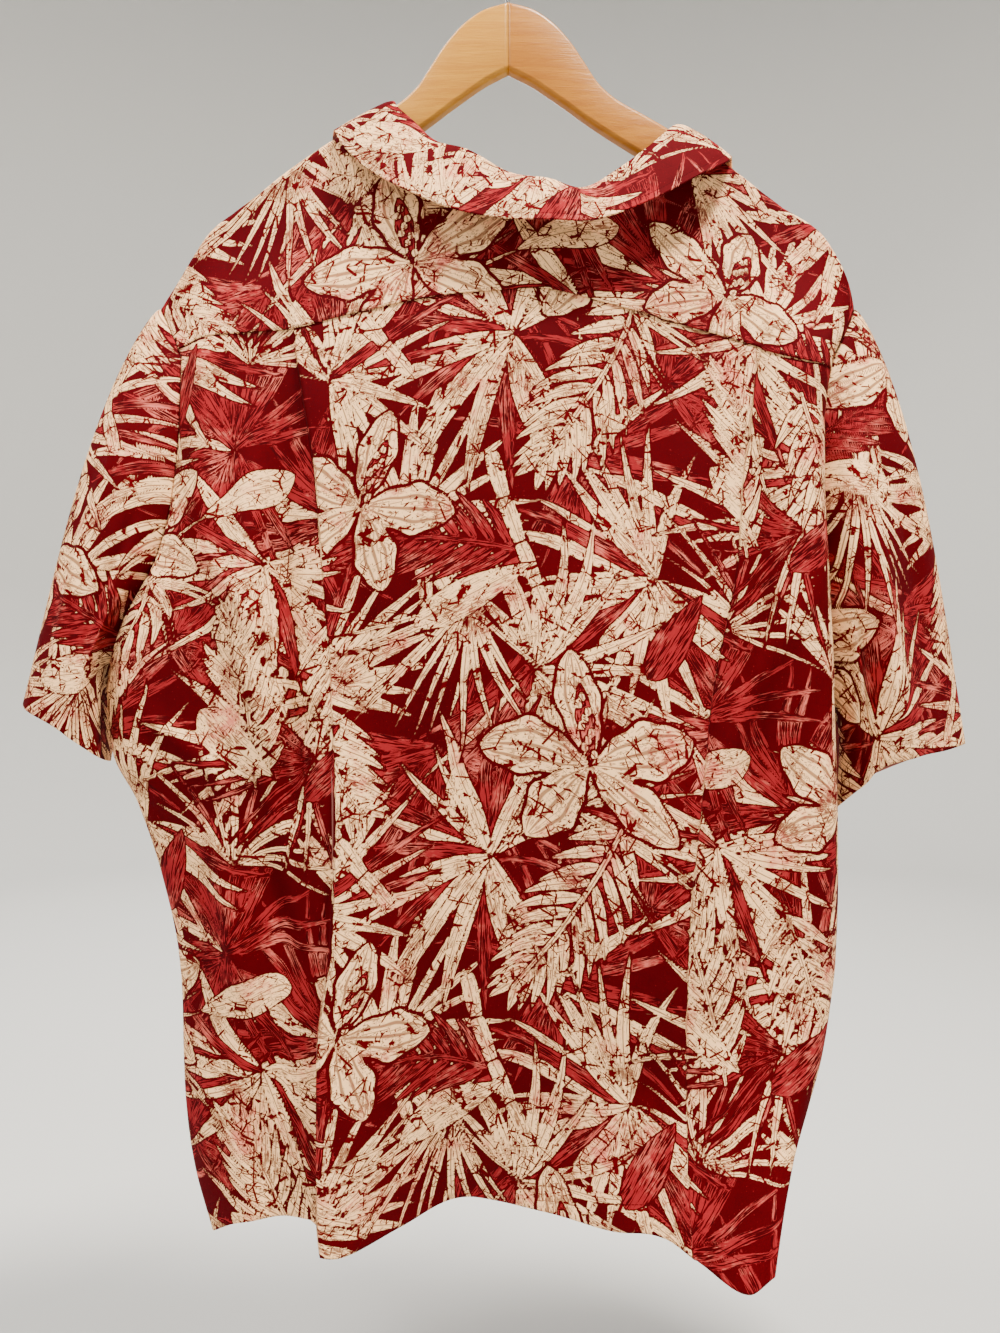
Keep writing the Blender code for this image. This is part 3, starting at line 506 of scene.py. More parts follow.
def crease_height(rows, x, y):
    """Soft ridges and troughs along listed lines."""
    total = np.zeros_like(x)
    for x1, y1, x2, y2, height, width in zip(*rows.values()):
        length = math.hypot(x2 - x1, y2 - y1)
        along = ((x - x1) * (x2 - x1) + (y - y1) * (y2 - y1)) / length ** 2
        away = ((x - x1) * (y2 - y1) - (y - y1) * (x2 - x1)) / length
        away = away + 0.25 * width * np.sin(7 * along + 40 * x1)
        shape = np.exp(-(away / width) ** 2) * np.sin(math.pi * np.clip(along, 0, 1)) ** 1.3
        total += CREASE_DEPTH * height * shape
    return total


def ripple_height(x, y):
    return sum(h * np.sin(a * x + b * y + p) for a, b, p, h in zip(*RIPPLES.values()))


# Body surfaces, in (across, drop): across is 0 at the left edge and 1 at the right

def body_edges(drop):
    """The body's left and right edges."""
    return [read(SIDES, name, drop) for name in ("left_x", "right_x")]


def body_x(across, drop):
    return mix(*body_edges(drop), across)


def body_across(x, drop):
    left, right = body_edges(drop)
    return (x - left) / (right - left)


def sheet_depth(rows, across, drop):
    """Depth of a large soft sheet from its five places across."""
    places = np.stack([read(rows, name, drop) for name in "abcde"])
    i = np.clip((across * 4).astype(int), 0, 3)
    picks = [np.clip(i + k, 0, 4)[None] for k in (-1, 0, 1, 2)]
    return through(*(np.take_along_axis(places, p, 0)[0] for p in picks), across * 4 - i)


def fold_height(rows, x, drop):
    """Sum of the soft folds that run down a sheet."""
    total = np.zeros_like(x)
    for top_x, top, low_x, low, height, width in zip(*rows.values()):
        down = (drop - top) / (low - top)
        middle = mix(top_x, low_x, down)
        fade = soft(down / 0.25) * soft((1.15 - down) / 0.25)
        total += height * fade * np.exp(-((x - middle) / width) ** 2)
    return total


def pleat_step(x, drop):
    """How far the back's middle stands out over its two pleats."""
    total = np.zeros_like(x)
    for side, inward in (("left", 1), ("right", -1)):
        past = inward * (x - read(PLEATS, side + "_x", drop))
        fall = np.exp(-(np.maximum(past, 0) / PLEAT_FALL) ** 2)
        total += read(PLEATS, side + "_step", drop) * soft(past / PLEAT_EDGE + 0.5) * fall
    return total


def armhole_span(side):
    """An armhole's middle drop and half of its height."""
    top, bottom = ARMHOLE[side]["top"], ARMHOLE[side]["bottom"]
    return (top + bottom) / 2, (bottom - top) / 2


def armhole_open(side, drop):
    """0 at an armhole's top and bottom, 1 at its middle."""
    middle, half = armhole_span(side)
    return np.sqrt(np.clip(1 - ((drop - middle) / half) ** 2, 0, 1))


def edge_depth(side, drop, face):
    """Depth of the body's edge: an armhole seam above, a side seam below."""
    seam = read(SIDES, side + "_y", drop)
    reach = ARMHOLE[side]["back" if face < 0 else "front"]
    return seam + face * (SIDE_GAP / 2 + reach * armhole_open(side, drop))


def body_depth(across, drop, face):
    """Depth of the back (face -1) or of the fronts (face +1)."""
    x = body_x(across, drop)
    below = np.maximum(drop - read(RIDGE, "drop", x), 0)
    over = np.minimum(below / FOLD_RADIUS, 1)
    arm = ARM_BEND * np.minimum(np.abs(x) / ARM_REACH, 1) ** 2
    near_arm = arm + face * FOLD_RADIUS * np.sqrt(1 - (1 - over) ** 2)
    if face < 0:
        sheet = sheet_depth(BACK, across, drop) - fold_height(FOLDS, x, drop)
        sheet -= pleat_step(x, drop) * soft((drop - PLEAT_TOP) / PLEAT_FADE)
        sheet -= crease_height(BACK_CREASES, x, drop) + ripple_height(x, drop)
    else:
        sheet = sheet_depth(FRONT, across, drop) + fold_height(FRONT_FOLDS, x, drop)
        sheet += crease_height(FRONT_CREASES, x, drop) + ripple_height(x, drop)
    depth = mix(near_arm, sheet, soft(below / ARM_SHAPE_END))
    left, right = body_edges(drop)
    for side, distance in (("left", across), ("right", 1 - across)):
        q = np.minimum(distance * (right - left) / EDGE_ROLL[side], 1)
        depth = mix(edge_depth(side, drop, face), depth, np.sqrt(1 - (1 - q) ** 2))
    return depth


def body_points(across, drop, face, out=0.0):
    """Points of the back or the fronts, moved outwards by some distance."""
    return np.stack([body_x(across, drop), body_depth(across, drop, face) + face * out, -drop], -1)


# Sewn pieces as grids of points

def back_across(u, t):
    """Places across the back of columns that run along its pleats."""
    middle_drop = mix(*BACK_SPAN, t)
    left = body_across(read(PLEATS, "left_x", middle_drop), middle_drop)
    right = body_across(read(PLEATS, "right_x", middle_drop), middle_drop)
    across = np.where(u < 0.25, left * u / 0.25, mix(left, right, (u - 0.25) / 0.5))
    return np.where(u > 0.75, mix(right, 1.0, (u - 0.75) / 0.25), across)


def back_grid(places, downs):
    """The back, from the yoke seam to the hem."""
    u, t = np.meshgrid(places, downs)
    across = back_across(u, t)
    top = read(YOKE_SEAM, "drop", across) + SEAM_GAP
    drop = mix(top, read(BACK_HEM, "drop", across), t)
    return body_points(across, drop, -1)


def yoke_grid(places, back_rows, front_rows):
    """The yoke, up the back to the shoulders and the neck, and on down to the front seams."""
    across = places[None, :]
    ridge = read(RIDGE, "drop", body_x(across, SHOULDER_DROP))
    x = body_x(across, ridge)
    inside = (x > NECK_LEFT + 1e-4) & (x < NECK_RIGHT - 1e-4)
    top = np.where(inside, read(NECK, "drop", x), ridge)
    seam = read(YOKE_SEAM, "drop", across)
    low = read(FRONT_SEAM, "drop", across)
    back = [body_points(across, mix(seam, top, t), -1) for t in back_rows]
    front = [body_points(across, mix(ridge, low, t), 1) for t in front_rows]
    return np.concatenate(back + front)


def front_limits(side, t):
    """Places across that a front reaches, at a share of its length."""
    edge = body_across(read(OPENING, side, t), mix(*FRONT_SPAN, t))
    return (np.zeros_like(t), edge) if side == "left" else (edge, np.ones_like(t))


def front_points(side, across, t, out=0.0):
    """Points of a front panel; the wearer's left one laps over the other."""
    top = read(FRONT_SEAM, "drop", across) + 2 * SEAM_GAP
    drop = mix(top, read(FRONT_HEM, "drop", across), t)
    inward = across if side == "left" else 1 - across
    lap = FRONT_LAP * soft((inward - LAP_START) / LAP_RAMP)
    return body_points(across, drop, 1, out + (lap if side == "left" else -lap))


def front_grid(side, places, downs):
    u, t = np.meshgrid(places, downs)
    low, high = front_limits(side, t)
    return front_points(side, mix(low, high, u), t)


def lapel_grid(side, places, downs):
    """The facing that the open neck turns out, lying on its front panel."""
    u, q = np.meshgrid(places, downs)
    t = mix(LAPEL_TOP, LAPEL_END, q)
    low, high = front_limits(side, t)
    width = LAPEL_SHARE * soft((1 - q) / 0.75 + 0.25)
    across = high - u * width if side == "left" else low + u * width
    lift = LAPEL_LIFT + LAPEL_ROLL * np.sin(math.pi * np.minimum(u * 1.15 + 0.02, 1))
    return front_points(side, across, t, lift)


def sleeve_grid(side, turns, downs):
    """A sleeve, from its armhole to its cuff; turn 0 is the shoulder, 0.5 the underarm."""
    sign = -1 if side == "left" else 1
    turn, t = np.meshgrid(turns, downs)
    hole, cuff = ARMHOLE[side], CUFFS[side]
    angle = 2 * math.pi * turn
    middle, half = armhole_span(side)
    drop = middle - half * np.cos(angle)
    face = np.where(np.sin(angle) < 0, 1.0, -1.0)
    reach = np.where(face < 0, hole["back"], hole["front"])
    start = np.stack([
        read(SIDES, side + "_x", drop) + sign * SLEEVE_GAP,
        read(SIDES, side + "_y", drop) + face * reach * np.abs(np.sin(angle)),
        -drop,
    ], -1)
    x, y, low = (spline(cuff[name], turn * len(cuff["x"]), True) for name in ("x", "y", "drop"))
    end = np.stack([x, y, -low], -1)
    points = mix(start, end, t[..., None])
    swell = np.sin(math.pi * t ** 0.65)
    top = np.cos(angle) * 0.5 + 0.5
    points[..., 0] += sign * SLEEVE_FULL * (top + 0.6) * swell
    points[..., 2] += SLEEVE_RISE * top * swell
    folds = crease_height(SLEEVE_CREASES[side], turn, t) + ripple_height(0.5 * turn, 0.3 * t)
    points[..., 1] += face * np.abs(np.sin(angle)) * (SLEEVE_ROUND * swell + folds * soft(t / 0.2))
    body_edge = read(SIDES, side + "_x", -points[..., 2])
    clear = SLEEVE_GAP + SLEEVE_CLEAR * soft(t / 0.3)
    past = sign * (points[..., 0] - body_edge) - clear
    points[..., 0] += sign * (np.sqrt(past ** 2 + SLEEVE_EASE ** 2 * soft(t / 0.1)) - past) / 2
    return points


# Across the collar: along the stand, over the fold, along the fall
COLLAR_PROFILE = table(
    "stand  fall   over     down",
    (0.11, 0.00, 0.0000, 0.0000),
    (0.45, 0.00, 0.0000, 0.0000),
    (0.80, 0.00, -0.0006, 0.0000),
    (0.98, 0.00, -0.0017, 0.0010),
    (1.00, 0.00, 0.0000, 0.0000),
    (1.00, 0.03, 0.0018, 0.0012),
    (1.00, 0.16, 0.0030, 0.0000),
    (1.00, 0.42, 0.0034, 0.0000),
    (1.00, 0.72, 0.0022, 0.0000),
    (1.00, 1.00, 0.0000, 0.0000),
)


def collar_grid(stations, steps):
    """The collar: stand and fall in one folded piece round the neck."""
    at, k = np.meshgrid(stations, steps)
    parts = {name: spline(values, at) for name, values in COLLAR.items()}
    neck, fold, edge = (np.stack([parts[p + "_x"], parts[p + "_y"], -parts[p + "_drop"]], -1)
                        for p in ("neck", "fold", "edge"))
    down_stand, down_fall = (unit(end - fold) for end in (neck, edge))
    outward, upward = unit(down_fall - down_stand), -unit(down_fall + down_stand)
    stand, fall, over, down = (spline(COLLAR_PROFILE[n], k)[..., None]
                               for n in ("stand", "fall", "over", "down"))
    return mix(mix(neck, fold, stand), edge, fall) + outward * over - upward * down


# Printed pattern, in cloth metres: across and down

REPEAT_ACROSS = 0.430
REPEAT_DOWN = 0.395
OUTLINE = 0.0012         # ground left round each printed shape
HALO = 0.0028            # ground cleared round a flower
FAR = -0.02              # field value well away from a shape
LEAFLETS = 11            # pairs on a frond
CANE_JOINT = 0.036       # length of each joint of a cane
PISTIL_DOTS = 9          # dots along a flower's middle
MOTIF_REACH = 0.2        # farthest that a motif reaches from its place
UNEVEN = ("palm", "frond", "flower")    # motifs that draw random numbers

# Motifs of one repeat, painted from the first to the last
PALMS = table(
    "across  down   turn  spread  blades  length  width   tone",
    (0.030, 0.060, 200, 270, 24, 0.140, 0.0056, 1),
    (0.240, 0.030, 20, 270, 24, 0.140, 0.0056, 1),
    (0.370, 0.200, 160, 270, 24, 0.135, 0.0056, 1),
    (0.150, 0.250, 300, 270, 24, 0.140, 0.0056, 1),
    (0.310, 0.350, 80, 250, 22, 0.135, 0.0054, 1),
    (0.110, 0.080, 60, 250, 22, 0.128, 0.0058, 2),
    (0.300, 0.105, 215, 260, 23, 0.130, 0.0058, 2),
    (0.410, 0.040, 120, 230, 20, 0.120, 0.0054, 2),
    (0.045, 0.190, 110, 240, 21, 0.122, 0.0056, 2),
    (0.215, 0.195, 350, 260, 23, 0.130, 0.0058, 2),
    (0.390, 0.290, 250, 240, 21, 0.125, 0.0056, 2),
    (0.190, 0.335, 170, 260, 23, 0.130, 0.0060, 2),
    (0.050, 0.350, 30, 200, 17, 0.112, 0.0054, 2),
    (0.160, 0.140, 250, 120, 13, 0.125, 0.0026, 2),
    (0.380, 0.130, 70, 130, 14, 0.120, 0.0026, 2),
    (0.250, 0.290, 20, 120, 13, 0.125, 0.0026, 2),
    (0.020, 0.240, 210, 120, 13, 0.120, 0.0026, 1),
)
FRONDS = table(
    "across  down   turn  bend   length  leaflet  width   tone",
    (0.020, 0.130, 285, 0.35, 0.170, 0.062, 0.0046, 2),
    (0.290, 0.290, 250, -0.30, 0.165, 0.060, 0.0046, 2),
    (0.210, 0.110, 160, 0.30, 0.150, 0.056, 0.0042, 1),
    (0.400, 0.070, 100, 0.25, 0.140, 0.054, 0.0042, 2),
)
CANES = table(
    "across  down   turn  bend   length  width   tone",
    (0.175, 0.030, 285, 0.12, 0.170, 0.0060, 2),
    (0.055, 0.270, 300, 0.10, 0.140, 0.0056, 2),
)
LEAVES = table(
    "across  down   turn  length  width   tone",
    (0.120, 0.150, 20, 0.090, 0.016, 2),
    (0.345, 0.010, 320, 0.085, 0.015, 2),
    (0.010, 0.270, 40, 0.080, 0.014, 1),
    (0.300, 0.180, 60, 0.080, 0.014, 1),
    (0.420, 0.220, 200, 0.085, 0.015, 2),
)
FLOWERS = table(
    "across  down   turn  petal   width",
    (0.262, 0.255, 12, 0.084, 0.0205),
    (0.075, 0.055, -25, 0.072, 0.0180),
)


class Print:
    """Fields over cloth points: above 0 inside cream or rosy shapes, and each shape's own grain."""

    def __init__(self, across, down):
        self.across, self.down = across.ravel(), down.ravel()
        self.cream = np.full(self.across.shape, FAR)
        self.rosy = np.full(self.across.shape, FAR)
        self.side = np.zeros(self.across.shape)
        self.along = np.zeros(self.across.shape)

    def focus(self, x, y, reach):
        """Keeps later searches to the points near a motif; false where there are none."""
        self.pool = np.nonzero((np.abs(self.across - x) < reach) & (np.abs(self.down - y) < reach))[0]
        return len(self.pool) > 0

    def near(self, x, y, turn, reach):
        """Indices of the points near a place, and their positions along and across a direction."""
        dx, dy = self.across[self.pool] - x, self.down[self.pool] - y
        close = dx * dx + dy * dy < reach * reach
        pick, dx, dy = self.pool[close], dx[close], dy[close]
        c, s = math.cos(turn), math.sin(turn)
        return pick, dx * c - dy * s, -dx * s - dy * c

    def stamp(self, pick, inside, tone, side, along):
        """Paints a shape over what lies under it, leaving a thin outline of ground."""
        for field in (self.cream, self.rosy):
            field[pick] = np.minimum(field[pick], -(inside + (OUTLINE if tone else HALO)))
        if tone:
            field = self.cream if tone == 2 else self.rosy
            field[pick] = np.maximum(field[pick], inside)
        own = inside > -OUTLINE
        self.side[pick[own]] = side[own]
        self.along[pick[own]] = along[own]

    def blade(self, x, y, turn, length, width, bend, tone, blunt=0.0):
        pick, along, side = self.near(x, y, turn, length * 1.1)
        if not len(pick):
            return
        q = np.clip(along / length, 0, 1)
        side = side - bend * length * q * q
        half = width * (blunt + (1 - blunt) * np.sin(math.pi * q ** 0.8) ** 0.8 * (1.1 - 0.45 * q))
        inside = np.minimum(half - np.abs(side), np.minimum(along, length - along))
        self.stamp(pick, inside, tone, side, along)

    def palm(self, x, y, turn, spread, blades, length, width, tone, pick_random):
        share = np.arange(blades) / (blades - 1) - 0.5
        turns = turn + spread * share
        for k in pick_random.permutation(int(blades)):
            reach = length * pick_random.uniform(0.78, 1.05) * (0.72 + 0.28 * math.cos(2.4 * share[k]))
            bend = 0.40 * share[k] + pick_random.uniform(-0.13, 0.13)
            angle = math.radians(turns[k] + pick_random.uniform(-3, 3))
            broad = width * pick_random.uniform(0.65, 1.2)
            own = tone if pick_random.random() > 0.16 else 3 - tone
            self.blade(x, y, angle, reach, broad, bend, own)

    def frond(self, x, y, turn, bend, length, leaflet, width, tone, pick_random):
        angle = math.radians(turn)
        for i in range(LEAFLETS):
            q = (i + 0.6) / LEAFLETS
            here = angle + bend * q
            px = x + length * q * math.cos(angle + bend * q / 2)
            py = y - length * q * math.sin(angle + bend * q / 2)
            reach = leaflet * math.sin(math.pi * (0.15 + 0.8 * q)) ** 0.6
            for hand in (-1, 1):
                lean = here + hand * math.radians(52 - 24 * q + pick_random.uniform(-4, 4))
                self.blade(px, py, lean, reach, width, -0.12 * hand, tone)
        self.blade(x, y, angle, length, 0.0016, bend / 2, tone, 0.6)

    def cane(self, x, y, turn, bend, length, width, tone):
        count = int(length / CANE_JOINT)
        angle = math.radians(turn)
        for i in range(count):
            here = angle + bend * i / count * 2
            self.blade(x, y, here, CANE_JOINT * 0.95, width * (1 - 0.05 * i), 0.0, tone, 0.78)
            x += CANE_JOINT * math.cos(here)
            y -= CANE_JOINT * math.sin(here)

    def leaf(self, x, y, turn, length, width, tone):
        self.blade(x, y, math.radians(turn), length, width, 0.06, tone)

    def petal(self, x, y, turn, length, width, tone):
        pick, along, side = self.near(x, y, turn, length * 1.1)
        if not len(pick):
            return
        q = np.clip(along / length, 0, 1)
        half = width * np.sin(math.pi * q ** 1.25) ** 0.75 * (1 + 0.07 * np.sin(19 * q + 3))
        inside = np.minimum(half - np.abs(side), np.minimum(along, length - along))
        spread = side / np.maximum(half, 0.002)
        veins = (np.abs(spread) - 0.5) * 0.006
        self.stamp(pick, inside, tone, np.where(np.abs(spread) < 0.25, spread * 0.006, veins), along)

    def flower(self, x, y, turn, length, width, pick_random):
        leans = [math.radians(turn + bearing + pick_random.uniform(-6, 6))
                 for bearing in (90, 14, 166, 228, 312)]
        scales = ((1.0, 0.80), (1.02, 1.0), (1.02, 1.0), (0.95, 0.88), (0.95, 0.88))
        for tone in (0, 2):
            for angle, (longer, wider) in zip(leans, scales):
                self.petal(x, y, angle, length * longer, width * wider, tone)
        throat = math.radians(turn + 90)
        self.petal(x, y, throat, length * 0.70, width * 0.30, 1)
        for i in range(PISTIL_DOTS):
            reach = length * (0.06 + 0.062 * i)
            hand = (-1, 1, 0)[i % 3] * width * 0.16
            px = x + reach * math.cos(throat) - hand * math.sin(throat)
            py = y - reach * math.sin(throat) - hand * math.cos(throat)
            self.blade(px, py, throat, 0.0060, 0.0024, 0.0, 2, 0.5)


def repeats(places, size):
    """Numbers of the repeats that cover some cloth, with one more on each side."""
    return range(math.floor(places.min() / size) - 1, math.floor(places.max() / size) + 2)


def paint(across, down):
    """The whole pattern over a piece of cloth."""
    cloth_print = Print(across, down)
    cells = [(i, j) for j in repeats(down, REPEAT_DOWN) for i in repeats(across, REPEAT_ACROSS)]
    motifs = {"palm": PALMS, "frond": FRONDS, "cane": CANES, "leaf": LEAVES, "flower": FLOWERS}
    for kind, rows in motifs.items():
        for number, (x, y, *sizes) in enumerate(zip(*rows.values())):
            for i, j in cells:
                place = (x + i * REPEAT_ACROSS, y + (j + 0.5 * (i % 2)) * REPEAT_DOWN)
                if cloth_print.focus(*place, MOTIF_REACH):
                    chance = [np.random.default_rng(100 + number)] if kind in UNEVEN else []
                    getattr(cloth_print, kind)(*place, *sizes, *chance)
    return cloth_print


# Shells of cloth

THIN = 0.00045           # half the thickness of the shown cloth


def placed(name, data):
    """A new object in the scene."""
    thing = bpy.data.objects.new(name, data)
    bpy.context.scene.collection.objects.link(thing)
    return thing


def spaced(step, *stops):
    """Evenly spaced values between stops, with an even number of steps from each stop to the next."""
    values = []
    for start, end in zip(stops[:-1], stops[1:]):
        count = 2 * max(1, round((end - start) / (2 * step)))
        values.extend(np.linspace(start, end, count, endpoint=False))
    return np.array(values + [stops[-1]])


def grid_normals(points, closed):
    """Unit normals of a grid, across by down."""
    if closed:
        across = np.roll(points, -1, 1) - np.roll(points, 1, 1)
    else:
        across = np.gradient(points, axis=1)
    return unit(np.cross(across, np.gradient(points, axis=0)) + 1e-14)


class Sheet:
    """A grid of cloth points with its values, made into one or more thin shells."""

    def __init__(self, points, outer, closed=False, keep=None):
        self.points, self.outer, self.closed = points, outer, closed
        self.normal = grid_normals(points, closed) * outer
        self.values = {}
        rows, count = points.shape[:2]
        blocks = ((rows - 1) // 2, count // 2 if closed else (count - 1) // 2)
        self.keep = np.ones(blocks, bool) if keep is None else keep

    def shell(self, name, materials, first=0, last=None):
        """A fine outer layer, an inner one at half of its density, and a rim all round."""
        points, normal = self.points[:, first:last], self.normal[:, first:last]
        keep = self.keep[:, first // 2:None if last is None else (last - 1) // 2]
        rows, count = points.shape[:2]
        above, below = points + normal * THIN, (points - normal * THIN)[::2, ::2]
        low_count, base = below.shape[1], rows * count
        j, i = np.nonzero(keep)
        wrap = keep.shape[1]

        def top(dj, di):
            return (2 * j + dj) * count + (2 * i + di) % count

        def low(dj, di):
            return base + (j + dj) * low_count + (i + di) % low_count

        cells = [np.stack([top(a, b), top(a, b + 1), top(a + 1, b + 1), top(a + 1, b)], -1)
                 for a in (0, 1) for b in (0, 1)]
        outside = np.concatenate(cells)
        inside = np.stack([low(0, 0), low(1, 0), low(1, 1), low(0, 1)], -1)
        padded = np.zeros((keep.shape[0] + 2, wrap + 2), bool)
        padded[1:-1, 1:-1] = keep
        if self.closed:
            padded[1:-1, 0], padded[1:-1, -1] = keep[:, -1], keep[:, 0]
        edges = (
            (padded[j, i + 1], ((0, 2), (0, 1), (0, 0)), ((0, 0), (0, 1))),
            (padded[j + 2, i + 1], ((2, 0), (2, 1), (2, 2)), ((1, 1), (1, 0))),
            (padded[j + 1, i], ((0, 0), (1, 0), (2, 0)), ((1, 0), (0, 0))),
            (padded[j + 1, i + 2], ((2, 2), (1, 2), (0, 2)), ((0, 1), (1, 1))),
        )
        rims = []
        for covered, outer_ring, inner_ring in edges:
            ring = [top(*p) for p in outer_ring] + [low(*p) for p in inner_ring]
            rims.append(np.stack(ring, -1)[~covered])
        rims = np.concatenate(rims)
        faces = [f if self.outer > 0 else f[:, ::-1] for f in (outside, rims, inside)]
        mesh = bpy.data.meshes.new(name)
        corners = np.concatenate([above.reshape(-1, 3), below.reshape(-1, 3)])
        used = np.zeros(len(corners), bool)
        for f in faces:
            used[f.ravel()] = True
        number = np.cumsum(used) - 1
        lists = sum([number[f].tolist() for f in faces], [])
        mesh.from_pydata(corners[used].tolist(), [], lists)
        for material in materials:
            mesh.materials.append(material)
        index = np.zeros(len(lists), np.int32)
        index[len(outside) + len(rims):] = 1
        mesh.polygons.foreach_set("material_index", index)
        for key, value in self.values.items():
            value = value[:, first:last]
            both = np.concatenate([value.ravel(), value[::2, ::2].ravel()])[used]
            layer = mesh.attributes.new(key, "FLOAT", "POINT")
            layer.data.foreach_set("value", both.astype(np.float32))
        mesh.shade_smooth()
        return placed(name, mesh)


def cloth_lengths(points, middle, axis=1):
    """Distance along the grid from one of its lines, as the flat cloth measures it."""
    if axis == 0:
        return cloth_lengths(points.transpose(1, 0, 2), middle).T
    steps = np.linalg.norm(np.diff(points, axis=1), axis=-1)
    lengths = np.concatenate([np.zeros((len(points), 1)), np.cumsum(steps, axis=1)], 1)
    return lengths - lengths[:, [middle]]


def above_hem(sheet, inset):
    """Distance down a sheet, and distance above the stitch line along its lower edge."""
    down = cloth_lengths(sheet.points, 0, 0)
    return down, down[-1:] - down - inset


def printed(sheet, piece, across, down, stitch, run):
    """Lays the pattern on a sheet; stitch is the distance from its seam lines, run along them."""
    across, down = across + PRINT_START[piece][0], down + PRINT_START[piece][1]
    pattern = paint(across, down)
    for name in ("cream", "rosy", "side", "along"):
        sheet.values[name] = getattr(pattern, name).reshape(across.shape)
    sheet.values.update(across=across, down=down, stitch=stitch, run=run)


# Materials

class Shade:
    """A material whose nodes are written as sums; values are sockets or numbers."""

    def __init__(self, name):
        self.material = bpy.data.materials.new(name)
        self.material.use_nodes = True
        self.tree = self.material.node_tree
        self.shader = self.tree.nodes["Principled BSDF"]

    def fill(self, node, inputs):
        """Links sockets to a node's inputs and writes numbers into them."""
        for key, value in inputs.items():
            if isinstance(value, bpy.types.NodeSocket):
                self.tree.links.new(value, node.inputs[key])
            elif value is not None:
                node.inputs[key].default_value = value

    def node(self, kind, inputs, out=0, **settings):
        made = self.tree.nodes.new(kind)
        for key, value in settings.items():
            setattr(made, key, value)
        self.fill(made, inputs)
        return made.outputs[out]

    def sum(self, operation, a, b=None, c=None):
        return self.node("ShaderNodeMath", {0: a, 1: b, 2: c}, operation=operation)

    def plus(self, a, b):
        return self.sum("ADD", a, b)

    def times(self, a, b, more=None):
        """Product of two values, with a third one added to it."""
        return self.sum("MULTIPLY" if more is None else "MULTIPLY_ADD", a, b, more)

    def size(self, a):
        return self.sum("ABSOLUTE", a)

    def most(self, first, *others):
        for other in others:
            first = self.sum("MAXIMUM", first, other)
        return first

    def value(self, name):
        return self.node("ShaderNodeAttribute", {}, out="Fac", attribute_name=name)

    def place(self, x, y, z=0.0):
        return self.node("ShaderNodeCombineXYZ", {0: x, 1: y, 2: z})

    def position(self, x=1.0, y=1.0, z=1.0):
        here = self.node("ShaderNodeNewGeometry", {}, out="Position")
        return self.node("ShaderNodeVectorMath", {0: here, 1: (x, y, z)}, operation="MULTIPLY")

    def noise(self, vector, scale, detail=2.0, rough=0.5, warp=0.0):
        return self.node("ShaderNodeTexNoise", {"Vector": vector, "Scale": scale, "Detail": detail,
                                                "Roughness": rough, "Distortion": warp})

    def step(self, value, low, high, to_low=0.0, to_high=1.0):
        """Smooth change from one value to another as a value goes from low to high."""
        return self.node("ShaderNodeMapRange", {0: value, 1: low, 2: high, 3: to_low, 4: to_high},
                         interpolation_type="SMOOTHSTEP")

    def blend(self, share, a, b):
        """Mix of two colours."""
        a, b = (c if isinstance(c, bpy.types.NodeSocket) else (*c, 1) for c in (a, b))
        return self.node("ShaderNodeMix", {0: share, 6: a, 7: b}, out=2, data_type="RGBA")

    def finish(self, colour, roughness, height, depth=0.001, strength=1.0, **others):
        """Fills the shader's inputs; others are named with _ for a space."""
        bump = self.node("ShaderNodeBump", {"Strength": strength, "Distance": depth,
                                            "Height": height}, out="Normal")
        others = {key.replace("_", " "): value for key, value in others.items()}
        self.fill(self.shader, {"Base Color": colour, "Roughness": roughness, "Normal": bump, **others})
        return self.material


CRIMSON = (0.088, 0.0002, 0.0028)
DEEP = (0.042, 0.0002, 0.0014)
CREAM = (1.000, 0.610, 0.300)
BLUSH = (0.640, 0.150, 0.110)
SALMON = (0.250, 0.012, 0.016)
REVERSE = (0.450, 0.200, 0.170)      # tint of the cloth's reverse, and its share
REVERSE_SHARE = 0.34
PRINT_EDGE = (-0.00022, 0.00022)     # softness of the print's edges
PRINT_WOBBLE = 0.0011                # and their unevenness
CRACKS = ((0.5, 2.2, 62.0), (2.1, 2.6, 80.0), (1.2, 1.6, 130.0))   # turn, stretch and scale
STITCH_LENGTH = 0.0030
THREADS_ACROSS = 5200.0              # weave, in radians per metre


def crack_lines(s, across, down, flat):
    """Fine broken lines in three directions, like old paint."""
    broken = s.most(s.times(s.noise(flat, 70.0, 3.0, 0.7), 0.60, -0.275), 0.0)
    lines = []
    for turn, stretch, scale in CRACKS:
        c, sn = math.cos(turn), math.sin(turn)
        one = s.times(across, c, s.times(down, sn))
        two = s.sum("DIVIDE", s.times(across, -sn, s.times(down, c)), stretch)
        net = s.node("ShaderNodeTexVoronoi", {"Vector": s.place(one, two), "Scale": scale},
                     feature="DISTANCE_TO_EDGE")
        lines.append(s.step(s.plus(net, broken), 0.020, 0.040, 1.0, 0.0))
    return s.most(*lines)


